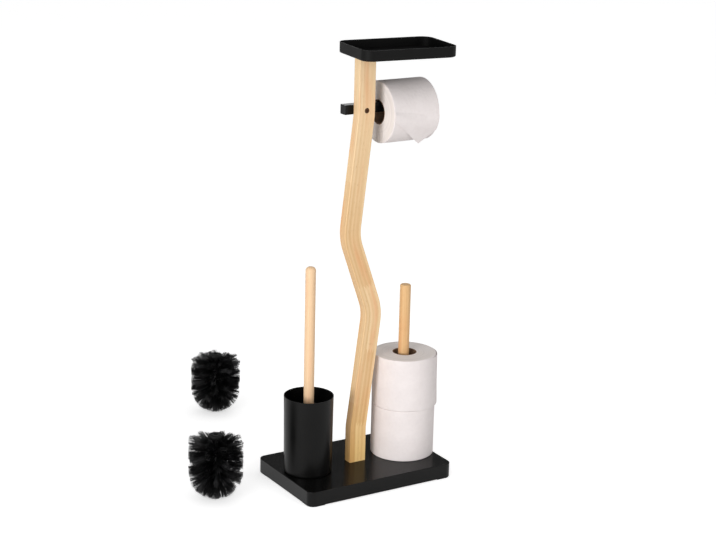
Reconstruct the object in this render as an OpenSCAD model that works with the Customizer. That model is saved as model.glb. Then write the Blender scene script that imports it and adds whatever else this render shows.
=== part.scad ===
// Free-standing toilet roll and brush stand: a wavy wooden post on a heavy black base,
// with a tray on top, an arm for the roll in use, a dowel for stored rolls, and a
// brush in its cup. The origin is the centre of the base on the floor, +Z is up,
// +X runs to the roll side and -Y is the front.

/* [Base] */
// Length of the base cover along X
base_w = 300; // [280:1:340]
// Depth of the base cover along Y
base_d = 195; // [170:1:220]
// Height of the base cover
base_h = 26.5; // [20:0.5:32]
// Radius of the cover's upright corners
base_r = 13.5; // [8:0.5:24]
// Radius along the cover's top edge
base_edge = 1.2; // [0.6:0.1:2.5]
// Sheet thickness of the cover
base_wall = 1.5; // [1.2:0.1:2.5]
// Thickness of a rubber foot
foot_h = 1.5; // [1.5:0.5:6]
// Length of a foot along each side of its corner
foot_len = 30; // [24:1:45]
// Step from the cover's outline in to a foot
foot_inset = 1; // [0.5:0.1:3]

/* [Post] */
// Width of the post's wide face
post_w = 33; // [29:0.5:38]
// Thickness of the post, front to back
post_d = 19; // [18:0.5:26]
// Radius along the post's long edges
post_edge = 1.5; // [0.5:0.1:3]
// Height of the post above the base
post_h = 746; // [730:1:800]
// Height of the lower kink above the base
low_kink_z = 66; // [60:1:80]
// Height of the bend that reaches furthest right
right_bend_z = 285; // [275:1:300]
// How far that bend's corner lies to the right
right_bend_x = 28; // [20:0.5:28]
// Height of the bend that reaches furthest left
left_bend_z = 426; // [410:1:440]
// How far that bend's corner lies to the left
left_bend_x = 22.5; // [15:0.5:26]
// Height of the upper kink
high_kink_z = 643; // [620:1:650]
// How far the post's top end lies to the right of its foot
top_shift = 2.3; // [0:0.1:6]
// Centreline radius of the two bends
bend_r = 90; // [50:1:100]
// Centreline radius of the two kinks
kink_r = 60; // [30:1:80]

/* [Tray] */
// Length of the tray along X
tray_w = 180; // [150:1:200]
// Depth of the tray along Y
tray_d = 122; // [100:1:140]
// Height of the tray
tray_h = 19; // [14:0.5:28]
// Radius of the tray's upright corners
tray_r = 20; // [8:0.5:24]
// Radius along the tray's bottom edge
tray_edge = 2.5; // [2.1:0.1:4]
// Sheet thickness of the tray
tray_wall = 2; // [1.8:0.1:3]
// From the post's centreline to the tray's left side
tray_left = 29; // [20:0.5:60]
// Angle by which the tray is turned on the post, its right end to the front
tray_turn = 6.5; // [0:0.5:8]

/* [Roll arm] */
// Side of the square bar
arm_side = 17; // [14:0.5:20]
// Height of the bar's middle above the base
arm_z = 652; // [640:1:660]
// How far the bar stands out to the left of the post
arm_stub = 16; // [8:0.5:30]
// How far the bar runs on past the roll
arm_tip = 5; // [2:0.5:15]
// Radius along the bar's long edges
arm_edge = 0.8; // [0.4:0.1:2]

/* [Storage dowel] */
// Radius of the dowel
dowel_r = 10; // [8:0.1:12]
// Height of the dowel above the base
dowel_h = 323; // [300:1:340]
// Radius on the dowel's top edge
dowel_edge = 3; // [1:0.5:6]
// Distance of the dowel from the base's middle
dowel_x = 99.2; // [97:0.1:104]

/* [Toilet rolls] */
// Radius of a stored roll
roll_r = 58.5; // [54:0.5:58.5]
// Width of the paper on a stored roll
roll_w = 97; // [90:1:100]
// Radius of the started roll on the arm
arm_roll_r = 55.5; // [48:0.5:60]
// Width of the paper on the arm's roll
arm_roll_w = 93; // [90:1:100]
// Gap from the post to the arm's roll
arm_roll_gap = 23; // [15:0.5:30]
// Outer radius of the card core
core_r = 22; // [20:0.5:24]
// Thickness of the card core
core_wall = 1.3; // [0.8:0.1:2]
// Radius on the paper's outer edges
paper_edge = 1.6; // [0.5:0.1:3]
// Thickness of a folded or loose sheet
sheet_t = 0.9; // [0.6:0.1:2]
// Sideways play of the stored rolls on their dowel
roll_play = 2.3; // [2.3:0.1:6]

/* [Loose sheets] */
// Angle above the front over which the folded sheet lies on the arm's roll
tail_wrap = 12; // [4:1:40]
// Angle below the front where the folded sheet leaves the roll
tail_leave = 28; // [20:1:40]
// Length of the folded sheet that hangs free down to its tip
tail_hang = 32; // [24:1:40]
// Depth below the roll's middle where the fold starts at the near end
tail_near = 8; // [4:1:14]
// Depth below the roll's middle where the fold starts at the far end
tail_far = 30; // [20:1:36]
// Place of the folded tip along the roll, as a share of its width
tail_tip_share = 0.68; // [0.5:0.01:0.75]
// Angle where the upper roll's loose sheet leaves the paper
flap_from = -95; // [-120:1:-80]
// Angle of the loose sheet's free edge
flap_to = 5; // [-5:1:20]
// Angle that the loose sheet's outline faces
flap_facing = -32; // [-45:1:-25]
// How far the loose sheet stands off at its free edge
flap_lift = 5; // [4:0.5:8]
// Radius of the loose sheet's lower corner
flap_corner = 26; // [15:1:30]

/* [Brush cup] */
// Distance of the cup from the base's middle
cup_x = 100; // [98:0.5:104]
// Outer radius of the cup's rim
cup_rim_r = 44.8; // [43.6:0.1:46]
// Outer radius of the cup's foot
cup_foot_r = 43.3; // [43:0.1:44.8]
// Height of the cup
cup_h = 143.3; // [135:0.5:160]
// Thickness of the cup's wall and floor
cup_wall = 1.2; // [0.8:0.1:1.6]
// Radius of the cup's bottom edge
cup_edge = 3; // [2:0.1:5]

/* [Brush] */
// Radius of the wooden handle
handle_r = 9.3; // [8.5:0.1:11]
// Height of the handle's top above the base
handle_top = 382; // [340:1:400]
// Radius of the stud and of its socket
stud_r = 4; // [3:0.1:4.5]
// Radius of a free brush head at its bristle tips
head_r = 50; // [40:0.5:54]
// Radius that the cup's wall presses the bristles in to
pressed_r = 39; // [36:0.5:39.5]
// Height of a brush head
head_h = 121; // [100:1:126]
// Radius of the head's moulded core
stem_r = 8; // [6:0.5:9]
// Radius of the collar's flange
collar_r = 12.5; // [11.5:0.5:14]
// Height of the collar
collar_h = 15; // [12:0.5:18]
// Spare head in front: place along X
spare_1_x = -274; // [-400:1:-200]
// Spare head in front: place along Y
spare_1_y = 23; // [-100:1:80]
// Spare head behind: place along X
spare_2_x = -78; // [-300:1:-50]
// Spare head behind: place along Y
spare_2_y = 409; // [250:1:460]

/* [Bristles] */
// Columns of cells round the core, an even number
columns = 16; // [12:2:18]
// Rows of cells on the rounded end
dome_rows = 7; // [5:1:8]
// Rows of cells on the straight stem
stem_rows = 11; // [8:1:12]
// Angle from the axis to the first row
dome_start = 12; // [8:1:16]
// Upward lean of the topmost row
top_lean = 20; // [0:1:30]
// Rows over which the lean builds up
lean_rows = 5; // [2:1:7]
// Side of a bristle at its tip
tip_side = 1.4; // [0.8:0.1:2]
// Largest change in a bristle's reach, as a share
reach_jitter = 0.045; // [0:0.005:0.06]

/* [Fasteners] */
// Shank radius of the long screws and of the arm bolt
screw_r = 3; // [2:0.1:3.2]
// Head radius of the long screws
screw_head_r = 6; // [5:0.1:6.5]
// Head height of the long screws
screw_head_h = 4; // [3:0.1:6]
// Length of the long screws in the wood
screw_bite = 40; // [25:1:45]
// Distance between the two screws of the post
screw_pitch = 16; // [14:0.5:18]
// Radius of a counterbore round a screw head
counterbore_r = 7; // [6.6:0.1:8]
// Shank radius of the tray's screws
tray_screw_r = 2.5; // [2:0.1:2.5]
// Head radius of the arm bolt
bolt_head_r = 4.8; // [4.2:0.1:6]
// Head height of the arm bolt
bolt_head_h = 3; // [2:0.1:4]
// Length of the arm bolt's thread inside the bar
bolt_bite = 12; // [8:0.5:13]
// Radial clearance round every screw, stud and bolt
screw_fit = 0.05; // [0.02:0.01:0.2]
// Clearance between pieces that only stand on each other
rest_gap = 0.3; // [0.2:0.05:0.5]

/* [Hidden] */
$fn = 64;
base_top = foot_h + base_h;
tray_z = base_top + post_h;
board_h = base_h - base_wall;
board_r = base_r - base_wall;
cut = 1;
// How far a loose sheet's outline reaches past its roll, so that it cuts all of the sheet
beyond = 20;

// Centreline of the post in its own plane: corner points and their radii
post_path = [
    [0, 0],
    [0, low_kink_z],
    [right_bend_x, right_bend_z],
    [-left_bend_x, left_bend_z],
    [top_shift, high_kink_z],
    [top_shift, post_h]
];
post_radii = [0, kink_r, bend_r, bend_r, kink_r, 0];
post_last = len(post_path) - 1;
bend_step = 3.5;

arm_mid_z = base_top + arm_z;
arm_mid_y = post_d / 2 + arm_side / 2;
arm_x0 = top_shift - post_w / 2 - arm_stub;
arm_roll_x0 = top_shift + post_w / 2 + arm_roll_gap;
arm_x1 = arm_roll_x0 + arm_roll_w + arm_tip;
core_bore_r = core_r - core_wall;
// The core hangs on the bar's two top edges
arm_half = arm_side / 2 - arm_edge;
arm_hang = sqrt(pow(core_bore_r - arm_edge, 2) - arm_half * arm_half) - arm_half;
arm_roll_z = arm_mid_z - arm_hang + rest_gap;

stored_x = dowel_x + roll_play;

// Heights inside one brush head, whose bristles stand on z = 0
stem_top = head_h - collar_h;
stem_pitch = (stem_top - head_r) / stem_rows;
socket_depth = collar_h - 2;
head_z = base_top + cup_wall + rest_gap;
handle_z = head_z + head_h;
handle_h = base_top + handle_top - handle_z;
stud_in_handle = 24;

bolt_recess = 1;
bolt_socket_r = 2.6;
tray_screw_head_r = tray_screw_r + tray_wall;
tray_screw_bite = 30;

wood = [0.89, 0.74, 0.55];
black = [0.09, 0.09, 0.09];
paper = [0.93, 0.91, 0.89];
card = [0.62, 0.52, 0.42];

// Flat outline with round corners
module round_rect(w, d, r) {
    square([w - 2 * r, d], center = true);
    square([w, d - 2 * r], center = true);
    for (x = [-1, 1], y = [-1, 1])
        translate([x * (w / 2 - r), y * (d / 2 - r)])
            circle(r);
}

// Half outline of a slab, from its middle out to x = reach, with its top edge rounded
module eased_side(reach, h, edge) {
    square([reach - edge, h]);
    square([reach, h - edge]);
    translate([reach - edge, h - edge])
        circle(edge);
}

// Full outline of a slab across one direction
module eased_section(w, h, edge) {
    eased_side(w / 2, h, edge);
    mirror([1, 0])
        eased_side(w / 2, h, edge);
}

// Slab with round upright corners and a rounded top edge, standing on z = 0
module eased_slab(w, d, h, r, edge) {
    translate([0, d / 2 - r, 0])
        rotate([90, 0, 0])
            linear_extrude(d - 2 * r)
                eased_section(w, h, edge);
    translate([-(w / 2 - r), 0, 0])
        rotate([90, 0, 90])
            linear_extrude(w - 2 * r)
                eased_section(d, h, edge);
    for (x = [-1, 1], y = [-1, 1])
        translate([x * (w / 2 - r), y * (d / 2 - r), 0])
            rotate_extrude()
                eased_side(r, h, edge);
}

// Sheet pan, open below, with its floor on top
module pan(w, d, h, r, edge, wall) {
    inner_edge = max(0.2, edge - wall);
    difference() {
        eased_slab(w, d, h, r, edge);
        translate([0, 0, -cut])
            eased_slab(w - 2 * wall, d - 2 * wall, h - wall + cut, r - wall, inner_edge);
    }
}

// Places its children at each of the post's two screws
module at_post_screws() {
    for (side = [-1, 1])
        translate([side * screw_pitch / 2, 0, 0])
            children();
}

// Places its children at each of the tray's two screws
module at_tray_screws() {
    translate([top_shift, 0, tray_z])
        rotate([0, 0, -tray_turn])
            at_post_screws()
                children();
}

// Long screw from below, its head in the board and its shank in the wood above
module base_screw() {
    head_z0 = foot_h + 0.5;
    translate([0, 0, head_z0])
        difference() {
            union() {
                cylinder(r = screw_head_r, h = screw_head_h);
                cylinder(r = screw_r, h = base_top + screw_bite - head_z0);
            }
            translate([0, 0, -cut])
                cylinder(r = 2.5, h = cut + 2.2, $fn = 6);
        }
}

// Hole through the base for one long screw
module base_screw_hole() {
    translate([0, 0, -cut])
        cylinder(r = screw_r + screw_fit, h = base_top + 2 * cut);
    translate([0, 0, -cut])
        cylinder(r = counterbore_r, h = foot_h + 0.5 + screw_head_h + cut);
}

// Pilot hole up from the base's top face
module pilot_hole() {
    translate([0, 0, base_top - cut])
        cylinder(r = screw_r + screw_fit, h = screw_bite + 2 + cut);
}

// Base

module base_cover() {
    color(black)
        difference() {
            translate([0, 0, foot_h])
                pan(base_w, base_d, base_h, base_r, base_edge, base_wall);
            at_post_screws()
                base_screw_hole();
            translate([dowel_x, 0, 0])
                base_screw_hole();
        }
}

module base_board() {
    color([0.45, 0.36, 0.27])
        difference() {
            translate([0, 0, foot_h])
                linear_extrude(board_h)
                    round_rect(base_w - 2 * base_wall, base_d - 2 * base_wall, board_r);
            at_post_screws()
                base_screw_hole();
            translate([dowel_x, 0, 0])
                base_screw_hole();
        }
}

module base_feet() {
    foot_w = base_w - 2 * foot_inset;
    foot_d = base_d - 2 * foot_inset;
    color([0.05, 0.05, 0.05])
        for (x = [-1, 1], y = [-1, 1])
            linear_extrude(foot_h)
                intersection() {
                    round_rect(foot_w, foot_d, base_r - foot_inset);
                    translate([x * foot_w / 2, y * foot_d / 2])
                        circle(foot_len);
                }
}

module post_screws() {
    color([0.6, 0.6, 0.62])
        at_post_screws()
            base_screw();
}

module dowel_screw() {
    color([0.6, 0.6, 0.62])
        translate([dowel_x, 0, 0])
            base_screw();
}

// Post: one section swept along straight runs and the arcs between them

function heading(a, b) = atan2(b[1] - a[1], b[0] - a[0]);
function leftward(angle) = [-sin(angle), cos(angle)];
function heading_after(i) = heading(post_path[i], post_path[i + 1]);
function post_turn(i) = heading_after(i) - heading_after(i - 1);

// Stations of the arc round corner i, each a place and the way on from there
function bend_stations(i) =
    let (
        turn = post_turn(i),
        radius = post_radii[i],
        first = heading_after(i - 1),
        back = radius * tan(abs(turn) / 2),
        start = post_path[i] - back * [cos(first), sin(first)],
        centre = start + sign(turn) * radius * leftward(first),
        steps = ceil(abs(turn) / bend_step)
    )
    [for (k = [0 : steps])
        let (angle = first + turn * k / steps)
        [centre - sign(turn) * radius * leftward(angle), angle]];

function post_stations() = concat(
    [[post_path[0], heading_after(0)]],
    [for (i = [1 : post_last - 1]) each bend_stations(i)],
    [[post_path[post_last], heading_after(post_last - 1)]]
);

// Corner points of the post's section: across the wide face, then front to back
post_section = [
    for (corner = [0 : 3], k = [0 : 3])
        let (
            angle = 90 * corner + 30 * k,
            side = sign(cos(90 * corner + 45)),
            face = sign(sin(90 * corner + 45))
        )
        [
            side * (post_w / 2 - post_edge) + post_edge * cos(angle),
            face * (post_d / 2 - post_edge) + post_edge * sin(angle)
        ]
];

module post_blank() {
    stations = post_stations();
    n = len(post_section);
    last = len(stations) - 1;
    points = [for (s = stations, q = post_section)
        let (p = s[0] + q[0] * leftward(s[1])) [p[0], -q[1], p[1]]];
    sides = [for (i = [0 : last - 1], j = [0 : n - 1])
        [i * n + j, (i + 1) * n + j, (i + 1) * n + (j + 1) % n, i * n + (j + 1) % n]];
    foot = [for (j = [0 : n - 1]) j];
    top = [for (j = [n - 1 : -1 : 0]) last * n + j];
    polyhedron(points = points, faces = concat(sides, [foot, top]));
}

module post() {
    color(wood)
        difference() {
            translate([0, 0, base_top])
                post_blank();
            at_post_screws()
                pilot_hole();
            at_tray_screws()
                translate([0, 0, -tray_screw_bite - 2])
                    cylinder(r = tray_screw_r + screw_fit, h = tray_screw_bite + 2 + cut);
            arm_bolt_place() {
                translate([0, 0, -cut])
                    cylinder(r = screw_r + screw_fit, h = post_d + 2 * cut);
                translate([0, 0, -cut])
                    cylinder(r = bolt_head_r + 0.2, h = bolt_recess + bolt_head_h + cut);
            }
        }
}

// Tray

module tray() {
    color(black)
        difference() {
            translate([top_shift, 0, tray_z + tray_h])
                rotate([0, 0, -tray_turn])
                    translate([tray_w / 2 - tray_left, 0, 0])
                        mirror([0, 0, 1])
                            pan(tray_w, tray_d, tray_h, tray_r, tray_edge, tray_wall);
            at_tray_screws()
                countersunk(screw_fit, cut);
        }
}

// Countersunk shape through the tray's floor, grown by a clearance and past both faces
module countersunk(gap, past) {
    rotate_extrude()
        polygon([
            [0, -past],
            [tray_screw_r + gap, -past],
            [tray_screw_r + gap, 0],
            [tray_screw_head_r + gap, tray_wall],
            [tray_screw_head_r + gap, tray_wall + past],
            [0, tray_wall + past]
        ]);
}

module tray_screws() {
    color([0.1, 0.1, 0.1])
        at_tray_screws()
            difference() {
                union() {
                    countersunk(0, 0);
                    translate([0, 0, -tray_screw_bite])
                        cylinder(r = tray_screw_r, h = tray_screw_bite);
                }
                translate([0, 0, tray_wall - 1.4])
                    cylinder(r = 1.8, h = 1.4 + cut, $fn = 6);
            }
}

// Roll arm

// Puts z = 0 on the post's front face at the bolt, with +z going back into the post
module arm_bolt_place() {
    translate([top_shift, -post_d / 2, arm_mid_z])
        rotate([-90, 0, 0])
            children();
}

module roll_arm() {
    color(black)
        difference() {
            translate([arm_x0, arm_mid_y, arm_mid_z])
                rotate([90, 0, 90])
                    linear_extrude(arm_x1 - arm_x0)
                        round_rect(arm_side, arm_side, arm_edge);
            arm_bolt_place()
                cylinder(r = screw_r + screw_fit, h = post_d + bolt_bite + 1);
        }
}

module arm_bolt() {
    color([0.28, 0.2, 0.13])
        arm_bolt_place()
            translate([0, 0, bolt_recess])
                difference() {
                    union() {
                        cylinder(r = bolt_head_r, h = bolt_head_h);
                        cylinder(r = screw_r, h = post_d - bolt_recess + bolt_bite);
                    }
                    translate([0, 0, -cut])
                        cylinder(r = bolt_socket_r, h = 2 + cut, $fn = 6);
                }
}

// Dowel and brush handle

// Round stick on z = 0 with its top edge rounded
module stick(r, h, edge) {
    rotate_extrude()
        intersection() {
            eased_side(r, h, edge);
            square([r + cut, h]);
        }
}

module storage_dowel() {
    color(wood)
        difference() {
            translate([dowel_x, 0, base_top])
                stick(dowel_r, dowel_h, dowel_edge);
            translate([dowel_x, 0, 0])
                pilot_hole();
        }
}

module brush_handle() {
    dome = handle_r - 2;
    color(wood)
        difference() {
            translate([-cup_x, 0, handle_z])
                stick(handle_r, handle_h, dome);
            translate([-cup_x, 0, handle_z - cut])
                cylinder(r = stud_r + screw_fit, h = stud_in_handle + 1 + cut);
        }
}

module handle_stud() {
    color([0.6, 0.6, 0.62])
        translate([-cup_x, 0, handle_z - socket_depth + 1])
            cylinder(r = stud_r, h = socket_depth - 1 + stud_in_handle);
}

// Brush cup

module brush_cup() {
    inner_edge = cup_edge - cup_wall;
    color(black)
        translate([-cup_x, 0, base_top])
            rotate_extrude($fn = 96)
                difference() {
                    cup_side(0, cup_h, cup_edge);
                    translate([0, cup_wall])
                        cup_side(cup_wall, cup_h, inner_edge);
                }
}

// Half outline of the cup, taken in by a wall, with its bottom edge rounded
module cup_side(inset, h, edge) {
    foot = cup_foot_r - inset;
    rim = cup_rim_r - inset;
    polygon([
        [0, 0],
        [foot - edge, 0],
        [foot, edge],
        [rim, h],
        [0, h]
    ]);
    translate([foot - edge, edge])
        circle(edge);
}

// Brush head

function grain(i, j) =
    let (wave = sin(127.1 * i + 311.7 * j + 74.7) * 43.7585) wave - floor(wave);
function dome_angle(i) = dome_start + (90 - dome_start) * i / dome_rows;
function ring(i) =
    i < dome_rows
        ? [stem_r * sin(dome_angle(i)), head_r - stem_r * cos(dome_angle(i))]
        : [stem_r, head_r + (i - dome_rows) * stem_pitch];
function ring_count() = dome_rows + stem_rows;

// Where a bristle of row i points: 0 is level, -90 straight down
function row_lean(i) =
    i < dome_rows
        ? dome_angle(i + 0.5) - 90
        : top_lean * pow(max(0, i - ring_count() + lean_rows) / lean_rows, 2);

// How far from its root a bristle of row i reaches, the lowest down to the ground
function row_reach(i, j) =
    let (full = head_r - stem_r)
    i == 0
        ? (head_r + 0.5) / cos(dome_angle(0.5)) - stem_r
        : full * (1 - reach_jitter + 2 * reach_jitter * (grain(i, j) - 0.5));

function on_ring(i, j) =
    let (a = 360 * j / columns, p = ring(i)) [p[0] * cos(a), p[0] * sin(a), p[1]];

// Pressed bristles keep their height and reach out by that share of a free one's way
function tip_middle(i, j, press) =
    let (
        a = 360 * (j + 0.5) / columns + 6 * (grain(j, i) - 0.5),
        lean = row_lean(i),
        root = (ring(i) + ring(i + 1)) / 2,
        r = root[0] + press * row_reach(i, j) * cos(lean),
        z = root[1] + row_reach(i, j) * sin(lean)
    ) [r, a, z, lean];

// The four corners of a bristle's tip, in the order of its root's corners
function tip_corners(i, j, press) =
    let (tip = tip_middle(i, j, press), half = tip_side / 2)
    [for (c = [[-1, -1], [-1, 1], [1, 1], [1, -1]])
        let (
            r = tip[0] - c[0] * half * sin(tip[3]),
            z = tip[2] + c[0] * half * cos(tip[3]),
            side = c[1] * half
        )
        [
            r * cos(tip[1]) - side * sin(tip[1]),
            r * sin(tip[1]) + side * cos(tip[1]),
            max(0, z)
        ]];

// One solid: a stem whose checkerboard of cells each rise into a four-sided bristle
module bristles(press = 1) {
    rings = ring_count();
    grid = [for (i = [0 : rings], j = [0 : columns - 1]) on_ring(i, j)];
    cells = [for (i = [0 : rings - 1], j = [0 : columns - 1]) if ((i + j) % 2 == 0) [i, j]];
    bare = [for (i = [0 : rings - 1], j = [0 : columns - 1]) if ((i + j) % 2 == 1) [i, j]];
    tips = [for (c = cells) each tip_corners(c[0], c[1], press)];
    first_tip = len(grid);
    function spot(i, j) = i * columns + j % columns;
    function root(c) = [
        spot(c[0], c[1]), spot(c[0], c[1] + 1),
        spot(c[0] + 1, c[1] + 1), spot(c[0] + 1, c[1])
    ];
    plain = [for (c = bare) let (q = root(c)) each [[q[0], q[2], q[1]], [q[0], q[3], q[2]]]];
    sides = [for (n = [0 : len(cells) - 1])
        let (q = root(cells[n]), t = first_tip + 4 * n)
        for (k = [0 : 3])
            let (m = (k + 1) % 4)
            each [[q[k], t + k, t + m], [q[k], t + m, q[m]]]];
    caps = [for (n = [0 : len(cells) - 1])
        let (t = first_tip + 4 * n)
        each [[t, t + 3, t + 2], [t, t + 2, t + 1]]];
    ends = [for (j = [1 : columns - 2])
        each [[0, j, j + 1], [spot(rings, 0), spot(rings, j + 1), spot(rings, j)]]];
    color([0.06, 0.06, 0.06])
        polyhedron(points = concat(grid, tips), faces = concat(plain, sides, caps, ends));
}

// Moulded collar above the stem, with the socket that the stud screws into
module head_core() {
    color([0.1, 0.1, 0.1])
        translate([0, 0, stem_top])
            rotate_extrude()
                difference() {
                    union() {
                        square([stem_r + 1, collar_h]);
                        translate([0, collar_h - 4])
                            square([collar_r, 3]);
                        polygon([
                            [0, 2],
                            [stem_r + 1, 2],
                            [collar_r, collar_h - 4],
                            [0, collar_h - 4]
                        ]);
                    }
                    translate([-cut, collar_h - socket_depth])
                        square([stud_r + screw_fit + cut, socket_depth + cut]);
                }
}

module brush_head_core() {
    translate([-cup_x, 0, head_z])
        head_core();
}

module brush_head_bristles() {
    translate([-cup_x, 0, head_z])
        bristles((pressed_r - stem_r) / (head_r - stem_r));
}

module spare_head_1_core() {
    translate([spare_1_x, spare_1_y, 0])
        head_core();
}

module spare_head_1_bristles() {
    translate([spare_1_x, spare_1_y, 0])
        bristles();
}

module spare_head_2_core() {
    translate([spare_2_x, spare_2_y, 0])
        head_core();
}

module spare_head_2_bristles() {
    translate([spare_2_x, spare_2_y, 0])
        bristles();
}

// Toilet rolls

module roll_core(w) {
    color(card)
        difference() {
            cylinder(r = core_r, h = w);
            translate([0, 0, -cut])
                cylinder(r = core_bore_r, h = w + 2 * cut);
        }
}

// Wound paper with soft outer edges
module wound_paper(r, w) {
    rotate_extrude($fn = 96)
        difference() {
            union() {
                translate([0, paper_edge])
                    square([r, w - 2 * paper_edge]);
                square([r - paper_edge, w]);
                for (z = [paper_edge, w - paper_edge])
                    translate([r - paper_edge, z])
                        circle(paper_edge);
            }
            translate([-cut, -cut])
                square([core_r + screw_fit + cut, w + 2 * cut]);
        }
}

// Stands a roll's parts on the base or on the roll below
module stored_place(level) {
    translate([stored_x, 0, base_top + level * roll_w])
        children();
}

// Lays a roll's parts along the arm
module arm_place() {
    translate([arm_roll_x0, arm_mid_y, arm_roll_z])
        rotate([0, 90, 0])
            children();
}

module arm_roll_core() {
    arm_place()
        roll_core(arm_roll_w);
}

// The started roll, whose last sheet is folded to a point and hangs from its front
module arm_roll_paper() {
    color(paper)
        arm_place() {
            wound_paper(arm_roll_r, arm_roll_w);
            intersection() {
                linear_extrude(arm_roll_w)
                    tail_profile();
                rotate([90, 0, 0])
                    linear_extrude(arm_roll_r + tail_hang)
                        tail_outline();
            }
        }
}

// Section of the folded sheet: it follows the roll, then hangs straight on
module tail_profile() {
    step = 4;
    bury = 0.4;
    angles = [for (a = [-tail_wrap : step : tail_leave]) a];
    function spot(r, a) = [r * sin(a), -r * cos(a)];
    hang = [cos(tail_leave), sin(tail_leave)] * tail_hang;
    outer = [for (a = angles) spot(arm_roll_r + sheet_t, a)];
    inner = [for (a = angles) spot(arm_roll_r - bury, a)];
    polygon(concat(
        outer,
        [spot(arm_roll_r + sheet_t, tail_leave) + hang],
        [spot(arm_roll_r, tail_leave) + hang],
        [spot(arm_roll_r, tail_leave)],
        [for (k = [len(inner) - 1 : -1 : 0]) inner[k]]
    ));
}

// Outline of the folded sheet from the front: down along the roll is +x here
module tail_outline() {
    tip = arm_roll_r * sin(tail_leave) + tail_hang * cos(tail_leave);
    polygon([
        [-arm_roll_r, -cut],
        [tail_near, -cut],
        [tip, arm_roll_w * tail_tip_share],
        [tail_far, arm_roll_w + cut],
        [-arm_roll_r, arm_roll_w + cut]
    ]);
}

module lower_roll_core() {
    stored_place(0)
        roll_core(roll_w);
}

module lower_roll_paper() {
    color(paper)
        stored_place(0)
            wound_paper(roll_r, roll_w);
}

module upper_roll_core() {
    stored_place(1)
        roll_core(roll_w);
}

// The upper roll, whose outermost sheet stands off on the right
module upper_roll_paper() {
    color(paper)
        stored_place(1) {
            wound_paper(roll_r, roll_w);
            intersection() {
                linear_extrude(roll_w)
                    flap_profile();
                rotate([0, 0, flap_facing])
                    rotate([90, 0, 90])
                        linear_extrude(roll_r + beyond)
                            flap_outline();
            }
        }
}

// Section of the loose sheet: an arc that leaves the roll smoothly
module flap_profile() {
    steps = 20;
    bury = 0.5;
    function lift(u) = (flap_lift + bury) * u * u * (3 - 2 * u) - bury;
    function spot(u, out) =
        let (a = flap_from + (flap_to - flap_from) * u, r = roll_r + lift(u) + out)
        [r * cos(a), r * sin(a)];
    polygon(concat(
        [for (k = [0 : steps]) spot(k / steps, sheet_t)],
        [for (k = [steps : -1 : 0]) spot(k / steps, 0)]
    ));
}

// Outline of the loose sheet from its own side, with a round lower corner
module flap_outline() {
    reach = roll_r * sin(flap_to - flap_facing);
    translate([-roll_r - beyond, 0])
        square([roll_r + beyond + reach - flap_corner, roll_w]);
    translate([-roll_r - beyond, flap_corner])
        square([roll_r + beyond + reach, roll_w - flap_corner]);
    translate([reach - flap_corner, flap_corner])
        circle(flap_corner);
}

// What is shown

base_cover();
base_board();
base_feet();
post_screws();
dowel_screw();
post();
tray();
tray_screws();
roll_arm();
arm_bolt();
storage_dowel();
brush_cup();
brush_handle();
handle_stud();
brush_head_core();
brush_head_bristles();
spare_head_1_core();
spare_head_1_bristles();
spare_head_2_core();
spare_head_2_bristles();
arm_roll_core();
arm_roll_paper();
lower_roll_core();
lower_roll_paper();
upper_roll_core();
upper_roll_paper();
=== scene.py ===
"""Looks of a free-standing toilet roll and brush stand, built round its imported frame.

All lengths are in metres, in the frame of the solids: +Z is up, +X is the roll side
and -Y is the front. Each sub-assembly is a class, and each finish is a small class.
"""

from __future__ import annotations

import logging
import math
from dataclasses import dataclass, field
from enum import Enum

import bmesh
import bpy
import numpy as np
from mathutils import Matrix, Vector

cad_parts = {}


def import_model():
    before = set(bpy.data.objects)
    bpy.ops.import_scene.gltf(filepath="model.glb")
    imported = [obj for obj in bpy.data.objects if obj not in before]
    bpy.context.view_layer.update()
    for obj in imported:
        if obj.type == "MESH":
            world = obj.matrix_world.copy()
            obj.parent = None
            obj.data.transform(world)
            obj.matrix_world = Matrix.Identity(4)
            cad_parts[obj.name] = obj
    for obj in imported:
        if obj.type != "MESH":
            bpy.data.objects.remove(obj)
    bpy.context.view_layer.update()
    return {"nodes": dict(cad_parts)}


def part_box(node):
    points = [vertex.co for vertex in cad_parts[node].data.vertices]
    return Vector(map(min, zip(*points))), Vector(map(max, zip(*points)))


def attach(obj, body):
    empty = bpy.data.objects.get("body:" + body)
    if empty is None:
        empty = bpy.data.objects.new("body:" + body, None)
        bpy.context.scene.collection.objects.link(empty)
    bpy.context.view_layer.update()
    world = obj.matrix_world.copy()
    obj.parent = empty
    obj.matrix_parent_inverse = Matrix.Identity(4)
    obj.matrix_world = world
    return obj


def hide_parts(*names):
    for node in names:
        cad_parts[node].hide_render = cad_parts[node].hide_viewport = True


LOG = logging.getLogger("stand")

Colour = tuple[float, float, float]
Spot = tuple[float, float, float]
Node = bpy.types.Node
Socket = bpy.types.NodeSocket
Material = bpy.types.Material
Piece = bpy.types.Object


class Side(Enum):
    """Which way the normals of a grid's cells are asked to look."""

    AS_WOUND = "as wound"
    TURNED = "turned"


class Facing(Enum):
    """Which part of a paper roll a face belongs to."""

    WRAP = 0
    EDGES = 1


# Mesh building


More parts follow.
